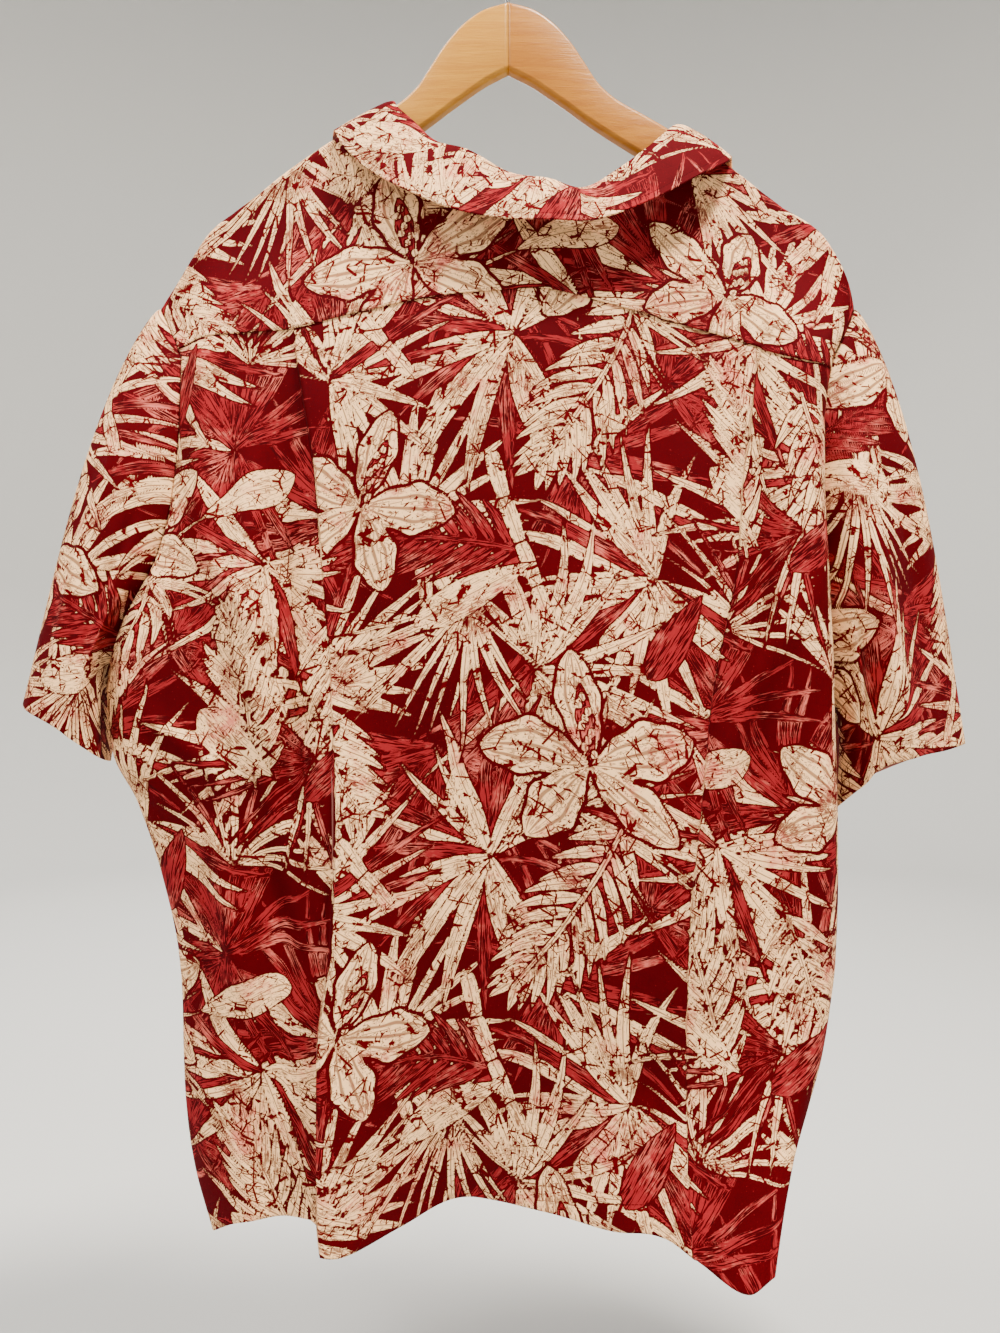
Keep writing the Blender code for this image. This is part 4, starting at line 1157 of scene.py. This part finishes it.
def print_colour(s, across, down, flat, cream, rosy):
    """Colour of the printed face: ground, rosy shapes and cream ones, each with its own marks."""
    side, along = s.value("side"), s.value("along")
    patch = s.noise(flat, 34.0)
    streak = s.noise(s.place(side, s.times(along, 0.06), 0.3), 900.0, 2.0, 0.6)
    brushed = s.noise(s.place(s.times(side, 2.4), s.times(along, 0.25), 0.7), 420.0, 3.0, 0.7)
    ribbed = s.noise(s.place(s.times(side, 0.30), along, 0.1), 560.0, 2.0, 0.6)
    cracks = crack_lines(s, across, down, flat)
    vein = s.step(s.size(side), 0.00025, 0.0006, 0.9, 0.0)
    streaks = s.step(s.times(patch, -0.12, streak), 0.54, 0.62, 0.0, 0.7)
    dots = s.step(s.noise(flat, 430.0, 1.0), 0.68, 0.73, 0.0, 0.9)
    worn = s.step(s.times(patch, 0.5, brushed), 0.76, 0.88, 0.0, 0.85)
    ticks = s.step(s.times(patch, 0.20, ribbed), 0.71, 0.77, 0.0, 0.8)
    marks = s.most(cracks, s.times(vein, 0.8), streaks, dots, worn, ticks)
    tint = s.step(s.times(brushed, 0.5, s.noise(flat, 20.0, 4.0, 0.7)), 0.74, 0.95, 0.0, 0.9)
    cream_paint = s.blend(marks, s.blend(tint, CREAM, BLUSH), CRIMSON)
    rosy_marks = s.step(s.times(patch, 0.25, streak), 0.58, 0.68)
    rosy_paint = s.blend(rosy_marks, s.blend(tint, SALMON, BLUSH), DEEP)
    speck = s.step(s.noise(flat, 520.0, 1.0), 0.70, 0.76, 0.0, 0.5)
    ground = s.blend(speck, s.blend(s.noise(flat, 12.0, 3.0), DEEP, CRIMSON), SALMON)
    ground = s.blend(s.times(cracks, 0.25), ground, DEEP)
    return s.blend(cream, s.blend(rosy, ground, rosy_paint), cream_paint)


def print_shade(name, reverse):
    """Printed cotton; its reverse shows the same print, paler and flatter."""
    s = Shade(name)
    across, down = s.value("across"), s.value("down")
    flat = s.place(across, down)
    wobble = s.times(s.noise(flat, 330.0), PRINT_WOBBLE, -PRINT_WOBBLE / 2)
    cream, rosy = (s.step(s.plus(s.value(field), wobble), *PRINT_EDGE) for field in ("cream", "rosy"))
    colour = print_colour(s, across, down, flat, cream, rosy)

    run = s.sum("FRACT", s.sum("DIVIDE", s.value("run"), STITCH_LENGTH))
    dash = s.step(s.size(s.sum("SUBTRACT", run, 0.5)), 0.36, 0.44, 1.0, 0.0)
    off_line = s.size(s.value("stitch"))
    thread = s.times(dash, s.step(off_line, 0.00022, 0.00042, 1.0, 0.0))
    colour = s.blend(s.times(thread, 0.8), colour, DEEP)
    if reverse:
        colour = s.blend(REVERSE_SHARE, colour, REVERSE)

    warp, weft = (s.sum("SINE", s.times(place, THREADS_ACROSS)) for place in (across, down))
    puckers = s.step(off_line, 0.0, 0.0035, -1.0, 0.0)
    height = s.times(puckers, 0.35, s.times(s.times(warp, weft), 0.06))
    height = s.plus(height, s.times(s.noise(flat, 150.0, 3.0), 0.22))
    height = s.plus(height, s.times(thread, 0.35))
    return s.finish(colour, s.times(cream, 0.06, 0.80), height, 0.0010, 0.5, Specular_IOR_Level=0.03)


def wood_shade(name, light, dark):
    """Lacquered maple with its grain along the arm."""
    s = Shade(name)
    bands = s.noise(s.position(1.2, 9.0, 14.0), 9.0, 4.0, 0.6, 1.2)
    fine = s.noise(s.position(4.0, 60.0, 90.0), 14.0, 3.0, 0.6)
    fleck = s.step(s.noise(s.position(12.0, 80.0, 160.0), 12.0, 2.0), 0.62, 0.72, 0.0, 0.5)
    share = s.step(s.times(fine, 0.35, bands), 0.50, 0.86)
    colour = s.blend(fleck, s.blend(share, light, dark), dark)
    return s.finish(colour, s.times(fine, 0.16, 0.30), s.plus(bands, fine), 0.0006, 0.25,
                    Coat_Weight=0.06, Coat_Roughness=0.25, Specular_IOR_Level=0.25)


def steel_shade():
    s = Shade("bright_steel")
    drawn = s.noise(s.position(300.0, 300.0, 900.0), 3.0, 3.0)
    colour = s.blend(drawn, (0.62, 0.62, 0.64), (0.80, 0.80, 0.81))
    return s.finish(colour, s.times(drawn, 0.14, 0.18), drawn, 0.0002, 0.2, Metallic=1.0)


def button_shade():
    s = Shade("button_shell")
    swirl = s.noise(s.position(1.0, 1.0, 1.4), 190.0, 3.0, 0.6, 1.5)
    colour = s.blend(s.step(swirl, 0.35, 0.7), (0.16, 0.018, 0.016), (0.42, 0.10, 0.075))
    return s.finish(colour, s.times(swirl, 0.12, 0.24), swirl, 0.0002, 0.2, Coat_Weight=0.3)


def thread_shade():
    s = Shade("sewing_thread")
    twist = s.noise(s.position(), 2600.0, 2.0)
    return s.finish(s.blend(twist, (0.07, 0.003, 0.006), (0.17, 0.012, 0.018)), 0.85, twist, 0.0003)


def plain_shade(name, colour):
    s = Shade(name)
    cloud = s.noise(s.position(), 1.6, 3.0)
    shown = s.blend(cloud, tuple(0.97 * c for c in colour), colour)
    return s.finish(shown, 0.9, s.noise(s.position(), 240.0, 2.0), 0.0006, 0.1)


# Pieces

def settle(thing, slot, *nodes):
    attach(thing, "root")
    if nodes:
        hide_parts(*nodes)


def hung(thing, node):
    """A piece of cloth, shaped as it hangs from the hanger, put in its solid's place; the solid is
    hidden.
    """
    settle(thing, "print", node)


def lofted(name, rings, material, caps=True):
    """Closed rings of points joined into one surface."""
    points = np.array(rings)
    rows, count = points.shape[:2]
    j, i = np.meshgrid(np.arange(rows - 1), np.arange(count), indexing="ij")
    after = (i + 1) % count
    this, following = j * count, (j + 1) * count
    quads = np.stack([this + i, this + after, following + after, following + i], -1)
    faces = quads.reshape(-1, 4).tolist()
    if caps:
        faces += [list(range(count))[::-1], [(rows - 1) * count + k for k in range(count)]]
    mesh = bpy.data.meshes.new(name)
    mesh.from_pydata(points.reshape(-1, 3).tolist(), [], faces)
    mesh.validate()
    mesh.materials.append(material)
    mesh.shade_smooth()
    for face in mesh.polygons:
        face.use_smooth = len(face.vertices) == 4
    return placed(name, mesh)


def tube(name, route, radius, material, around=16, closed=False):
    """A round strand along a route."""
    route = np.array(route, float)
    if closed:
        ahead = unit(np.roll(route, -1, 0) - np.roll(route, 1, 0))
    else:
        ahead = unit(np.gradient(route, axis=0))
    side = unit(np.cross(ahead, np.array([0.02, 1.0, 0.03])))
    up = np.cross(side, ahead)
    turn = np.linspace(0, 2 * math.pi, around, endpoint=False)
    ring = np.cos(turn)[:, None] * side[:, None] + np.sin(turn)[:, None] * up[:, None]
    rings = route[:, None] + ring * np.reshape(radius, (-1, 1, 1))
    if closed:
        rings = np.concatenate([rings, rings[:1]])
    return lofted(name, rings, material, caps=not closed)


def joined(name, things):
    """Several mesh objects as one."""
    base = things[0]
    with bpy.context.temp_override(active_object=base, selected_editable_objects=things,
                                   selected_objects=things, object=base):
        bpy.ops.object.join()
    base.name = name
    return base


FINE = 0.00165           # step of the finest cloth
BACK_WIDTHS = (0.56, 0.58, 0.46)    # cloth per unit across, in the back's three panels
BACK_LENGTH = 0.705
YOKE_WIDTH = 0.57
SLEEVE_LENGTH = 0.30
YOKE_STEPS = (0.012, 0.05)          # rows of the yoke's back and of its front
FRONT_STEPS = (0.0095, 0.003375)    # across and down
LAPEL_STEP = 0.03
SLEEVE_STEPS = (0.0032, 0.008)      # round the back half and the front half
COLLAR_STEPS = (0.055, 0.12)        # along the collar and across it
SLEEVE_HANG = (0.109, -0.321)       # direction of a sleeve's length, outwards and up
PLEAT_TAKEN = (0.030, 0.026)        # cloth hidden in each pleat
YOKE_LAP = (0.0012, 0.0007)         # how far the yoke's edge stands out and hangs down
YOKE_LAP_FADE = 0.005
COLLAR_LIFT = 0.0045     # how far the collar's lower edge stands off the yoke, beyond its solid

# Stitch lines: distance from the edge
HEM_STITCH = 0.020
CUFF_STITCH = 0.025
PLACKET_STITCH = 0.032
COLLAR_STITCH = 0.0055
LAPEL_STITCH = 0.005
YOKE_STITCH = 0.0018

# Where each piece is cut from the print: across and down
PRINT_START = {
    "back": (0.205, 0.300),
    "yoke": (0.335, 0.285),
    "front_left": (0.110, 0.120),
    "front_right": (0.330, 0.120),
    "lapel": (0.050, 0.200),
    "sleeve_left": (0.070, 0.260),
    "sleeve_right": (0.070, 0.030),
    "collar": (0.290, 0.085),
}


def build_back(shades):
    """The back, shown as three panels that meet in its pleats."""
    left, middle, right = (spaced(FINE / width, *ends) for width, ends in
                           zip(BACK_WIDTHS, ((0.0, 0.25), (0.25, 0.75), (0.75, 1.0))))
    places = np.concatenate([left[:-1], middle[:-1], right])
    back = Sheet(back_grid(places, spaced(FINE / BACK_LENGTH, 0.0, 1.0)), -1)
    first, second = len(left) - 1, len(left) + len(middle) - 2
    across = cloth_lengths(back.points, (first + second) // 2)
    across[:, :first + 1] -= PLEAT_TAKEN[0]
    across[:, second:] += PLEAT_TAKEN[1]
    down, hem = above_hem(back, HEM_STITCH)
    printed(back, "back", across, down, hem, across)
    for name, begin, end in (("back_left", 0, first + 1), ("back_middle", first, second + 1),
                             ("back_right", second, None)):
        hung(back.shell(name, shades, begin, end), "back")


def build_yoke(shades):
    """The yoke, with columns at both corners of the neck. Its lower edge laps over the back."""
    neck = body_across(np.array([NECK_LEFT, NECK_RIGHT]), SHOULDER_DROP)
    places = spaced(FINE / YOKE_WIDTH, 0.0, *neck, 1.0)
    back_rows, front_rows = (spaced(step, 0.0, 1.0) for step in YOKE_STEPS)
    points = yoke_grid(places, back_rows, front_rows[1:])
    x = body_x((places[:-2:2] + places[2::2]) / 2, SHOULDER_DROP)
    keep = np.ones(((len(points) - 1) // 2, len(places) // 2), bool)
    keep[(len(back_rows) - 1) // 2:, (x > NECK_LEFT) & (x < NECK_RIGHT)] = False
    lap = np.exp(-cloth_lengths(points, 0, 0) / YOKE_LAP_FADE)
    for axis, size in zip((1, 2), YOKE_LAP):
        points[:, :, axis] -= size * lap
    yoke = Sheet(points, 1, keep=keep)
    across = np.repeat(body_x(places, SHOULDER_DROP)[None], len(points), 0)
    up = cloth_lengths(points, 0, 0)
    printed(yoke, "yoke", across, -up, up - YOKE_STITCH, across)
    hung(yoke.shell("yoke_cloth", shades), "yoke")


def build_front(side, shades):
    front = Sheet(front_grid(side, *(spaced(step, 0.0, 1.0) for step in FRONT_STEPS)), 1)
    outer, inner = (0, -1) if side == "left" else (-1, 0)
    across = cloth_lengths(front.points, outer)
    down, hem = above_hem(front, HEM_STITCH)
    placket = np.abs(across - across[:, [inner]]) - PLACKET_STITCH
    at_hem = np.abs(hem) < np.abs(placket)
    stitch, run = np.where(at_hem, hem, placket), np.where(at_hem, across, down)
    printed(front, "front_" + side, across, down, stitch, run)
    hung(front.shell("front_%s_cloth" % side, shades), "front_" + side)


def build_lapel(side, sign, shades):
    places = spaced(LAPEL_STEP, 0.0, 1.0)
    lapel = Sheet(lapel_grid(side, places, places), sign)
    across, down = cloth_lengths(lapel.points, 0), cloth_lengths(lapel.points, 0, 0)
    printed(lapel, "lapel", across, down, across - LAPEL_STITCH, down)
    hung(lapel.shell("lapel_%s_cloth" % side, shades), "lapel_" + side)


def build_sleeve(side, sign, shades):
    """A sleeve, laid flat both ways from its shoulder line; its front half is coarser."""
    halves = zip(SLEEVE_STEPS, ((0.0, 0.5), (0.5, 1.0)))
    turns = np.concatenate([spaced(step, *ends)[:-1] for step, ends in halves])
    points = sleeve_grid(side, turns, spaced(FINE / SLEEVE_LENGTH, 0.0, 1.0))
    sleeve = Sheet(points, sign, closed=True)
    steps = np.linalg.norm(np.roll(points[-1], -1, 0) - points[-1], axis=1)
    around = np.cumsum(steps) - steps
    around = np.where(turns <= 0.5, around, around - steps.sum())
    across = np.repeat(around[None], len(points), 0)
    outward, up = SLEEVE_HANG
    down = points @ unit(np.array([sign * outward, 0.0, up]))
    printed(sleeve, "sleeve_" + side, across, down, above_hem(sleeve, CUFF_STITCH)[1], across)
    hung(sleeve.shell("sleeve_%s_cloth" % side, shades), "sleeve_" + side)


def build_collar(shades):
    """The collar; its lower edge stands a little further off the yoke than its solid."""
    stations, rows = (spaced(step, 0.0, end) for step, end in zip(COLLAR_STEPS, (21.0, 9.0)))
    points = collar_grid(stations, rows)
    fall = np.clip((rows - 6.0) / 3.0, 0, 1) ** 1.5
    behind = np.clip(1 - ((stations - 10.5) / 7.0) ** 2, 0, 1)
    points[:, :, 1] -= COLLAR_LIFT * fall[:, None] * behind
    collar = Sheet(points, -1)
    across = cloth_lengths(collar.points, (len(stations) - 1) // 2)
    across = np.repeat(across[-1:], len(across), 0)
    down, edge = above_hem(collar, COLLAR_STITCH)
    printed(collar, "collar", across, down, edge, across)
    hung(collar.shell("collar_cloth", shades), "collar")


def build_cloth():
    shades = (print_shade("print_face", False), print_shade("print_reverse", True))
    build_back(shades)
    build_yoke(shades)
    for side, sign in (("left", -1), ("right", 1)):
        build_front(side, shades)
        build_lapel(side, sign, shades)
        build_sleeve(side, sign, shades)
    build_collar(shades)


# The hanger's halves: slot, side, light and dark grain. Both halves are the same maple; the right half is
# painted darker and warmer than the left as painted shade, and the left paler as painted light, for how
# the light falls on each half
WOODS = {
    "hanger_left": ("wood_pale", -1, (0.500, 0.225, 0.018), (0.430, 0.175, 0.012)),
    "hanger_right": ("wood_warm", 1, (0.420, 0.160, 0.011), (0.340, 0.115, 0.006)),
}
ROUND_START = 0.216      # reach where an arm's end begins to round, and where it ends
ROUND_END = 0.220
ROUND_SHRINK = 0.0028
JOINT_GAP = 0.00003      # from the hanger's middle to each half


def wood_ring(sign, reach):
    """Rounded section of an arm at a distance from the hanger's middle."""
    near_end = np.clip((reach - ROUND_START) / (ROUND_END - ROUND_START), 0, 1)
    shrink = ROUND_SHRINK * (1 - math.sqrt(1 - near_end ** 2))
    top = read(WOOD, "top", reach) + shrink
    bottom = read(WOOD, "bottom", reach) - shrink
    half = ARM_THICK / 2 - shrink * 0.8
    middle = ARM_BEND * (reach / ARM_REACH) ** 2
    ring = []
    for across, down, begin in ((-1, -1, 180), (1, -1, 270), (1, 1, 0), (-1, 1, 90)):
        inner = (top + ARM_ROUND) if down < 0 else (bottom - ARM_ROUND)
        for a in np.radians(begin + np.linspace(0, 90, 6)):
            y = across * (half - ARM_ROUND) + ARM_ROUND * math.cos(a)
            drop = inner + ARM_ROUND * math.sin(a)
            ring.append((sign * reach, middle + y, TILT * sign * reach - drop))
    return ring[::sign]


def build_wood():
    places = np.concatenate([np.linspace(JOINT_GAP, ROUND_START, 72), [0.2185, 0.2196, ROUND_END]])
    for name, (slot, sign, light, dark) in WOODS.items():
        rings = [wood_ring(sign, reach) for reach in places]
        settle(lofted(name + "_wood", rings, wood_shade(name + "_maple", light, dark)), slot, name)


def build_hook():
    """The wire: its bend, a short lead inwards and the shank down into the wood."""
    centre = HOOK_WIRE / 2 - HOOK_RADIUS
    bend = [(HOOK_RADIUS * math.cos(a), 0.0, centre + HOOK_RADIUS * math.sin(a))
            for a in np.radians(np.linspace(205, -62, 90))]
    foot = -float(WOOD["top"][0]) + 0.0004
    stops = np.array([(0.0068, 0.0, foot + 0.0166), (0.0018, 0.0, foot + 0.013),
                      (0.0, 0.0, foot + 0.008), (0.0, 0.0, foot)])
    lead = spline(stops, np.linspace(0.15, 3, 26)[:, None]).reshape(-1, 3)
    route = np.concatenate([bend, lead])
    radius = np.full(len(route), HOOK_WIRE / 2)
    radius[0] *= 0.55
    settle(tube("hook_wire", route, radius, steel_shade(), 20), "steel", "hook")


def front_place(x, drop, out):
    """A point off the outer front."""
    level = np.array([[float(drop)]])
    across = body_across(np.array([[float(x)]]), level)
    return body_points(across, level, 1, FRONT_LAP + THIN + out)[0, 0]


HOLE_PLACE = 0.00155     # a hole's distance from a button's middle, across and down
STITCH_REACH = (-0.0019, -0.0012, 0.0012, 0.0019)
THREAD_RADIUS = 0.00038
HOLE_RADIUS = 0.00085
SLIT_SIZE = (0.0011, 0.0068)         # half width and half height of a worked buttonhole
SLIT_RADIUS = 0.00045
FULL_TURN = np.linspace(0, 2 * math.pi, 48, endpoint=False)

# A button's outline: radius in metres, height in half thicknesses
BUTTON_RIM = ((0.0001, -1), (0.0046, -1), (0.0055, -0.6), (0.0058, 0), (0.0056, 0.6), (0.0050, 1),
              (0.0044, 0.94), (0.0038, 0.55), (0.0030, 0.40), (0.0001, 0.36))


def button(name, shade, thread):
    """A four-holed button with its two stitches, face up at the origin."""
    half = BUTTON_THICK / 2
    rings = [[(r * math.cos(a), r * math.sin(a), half * z) for a in FULL_TURN[::-1]]
             for r, z in BUTTON_RIM]
    parts = [lofted("button_disc", rings, shade)]
    ends = (-HOLE_PLACE, HOLE_PLACE)
    for u in ends:
        route = [(u, v, half * z) for v, z in zip(STITCH_REACH, (0.35, 0.85, 0.85, 0.35))]
        parts.append(tube("button_thread", route, THREAD_RADIUS, thread, 8))
    for u, v in ((u, v) for u in ends for v in ends):
        parts.append(tube("button_hole", [(u, v, half * 0.30), (u, v, half * 0.46)],
                          HOLE_RADIUS, thread, 12))
    return joined(name, parts)


def build_buttons():
    """The buttons, and the worked buttonholes of all but the top one."""
    shade, thread = button_shade(), thread_shade()
    slits = []
    for i, drop in enumerate(BUTTON_DROPS):
        x = float(read(CENTRE, "x", drop))
        above, below = (front_place(x, drop + step, 0.0)[1] for step in (-0.01, 0.01))
        whole = button("button_%d_shell" % (i + 1), shade, thread)
        whole.rotation_euler = (math.pi / 2 + math.atan((below - above) / 0.02) + math.pi, 0, 0)
        whole.location = front_place(x, drop, SEAM_GAP + WALL / 2 - THIN + BUTTON_THICK / 2)
        settle(whole, "button", "button_%d" % (i + 1))
        if i:
            edge = [front_place(x + SLIT_SIZE[0] * math.cos(a), drop + SLIT_SIZE[1] * math.sin(a), 0.0002)
                    for a in FULL_TURN]
            slits.append(tube("slit", edge, SLIT_RADIUS, thread, 6, closed=True))
    settle(joined("buttonholes", slits), "button")


# Place, what it aims at, size, power and colour of each light
LIGHTS = {
    "key": ((0.8, -0.85, 2.3), (0, 0, -0.5), 0.45, 320, (1.0, 0.94, 0.84)),
    "second": ((-1.4, -0.8, 2.1), (0, 0, -0.5), 0.45, 120, (1.0, 0.95, 0.88)),
    "fill": ((-1.5, -2.6, 0.5), (0, 0, -0.6), 2.2, 12, (1.0, 0.98, 0.95)),
    "rear": ((-0.8, 2.4, 1.3), (0, 0, -0.6), 2.0, 110, (1.0, 0.98, 0.95)),
}
ROOM_COLOUR = (0.52, 0.52, 0.51)
ROOM_RADIUS = 3.8
ROOM_BEND = 0.9          # radius of the curve from the floor to the wall
FLOOR = -1.30


def build_room():
    """A round room whose floor curves up into its wall."""
    profile = [(r, FLOOR) for r in (0.0005, 0.8, 1.6, 2.4)]
    profile += [(ROOM_RADIUS - ROOM_BEND * (1 - math.sin(a)), FLOOR + ROOM_BEND * (1 - math.cos(a)))
                for a in np.linspace(0, math.pi / 2, 14)]
    profile += [(ROOM_RADIUS, z) for z in (0.6, 1.8, 3.0)]
    turn = np.linspace(0, 2 * math.pi, 120, endpoint=False)
    rings = [[(r * math.cos(a), r * math.sin(a), z) for a in turn] for r, z in profile]
    lofted("room", rings, plain_shade("pale_room", ROOM_COLOUR), caps=False)


def build_lights():
    for name, (place, aim, size, power, colour) in LIGHTS.items():
        light = bpy.data.lights.new(name, "AREA")
        light.shape, light.size, light.energy, light.color = "SQUARE", size, power, colour
        thing = placed(name, light)
        thing.location = place
        thing.rotation_euler = (Vector(aim) - Vector(place)).to_track_quat("-Z", "Y").to_euler()
    world = bpy.data.worlds.new("world")
    world.use_nodes = True
    sky = world.node_tree.nodes["Background"].inputs
    sky["Color"].default_value = (0.86, 0.88, 0.92, 1)
    sky["Strength"].default_value = 0.11
    bpy.context.scene.world = world


def build_camera():
    """The camera, level, behind the shirt and at its middle."""
    camera = bpy.data.cameras.new("camera")
    camera.sensor_fit, camera.sensor_height, camera.lens = "VERTICAL", 36, 26
    thing = placed("camera", camera)
    thing.location = (-0.0063, -0.76, -0.586)
    thing.rotation_euler = (math.pi / 2, 0, 0)
    bpy.context.scene.camera = thing


build_cloth()
build_wood()
build_hook()
build_buttons()
build_room()
build_lights()
build_camera()
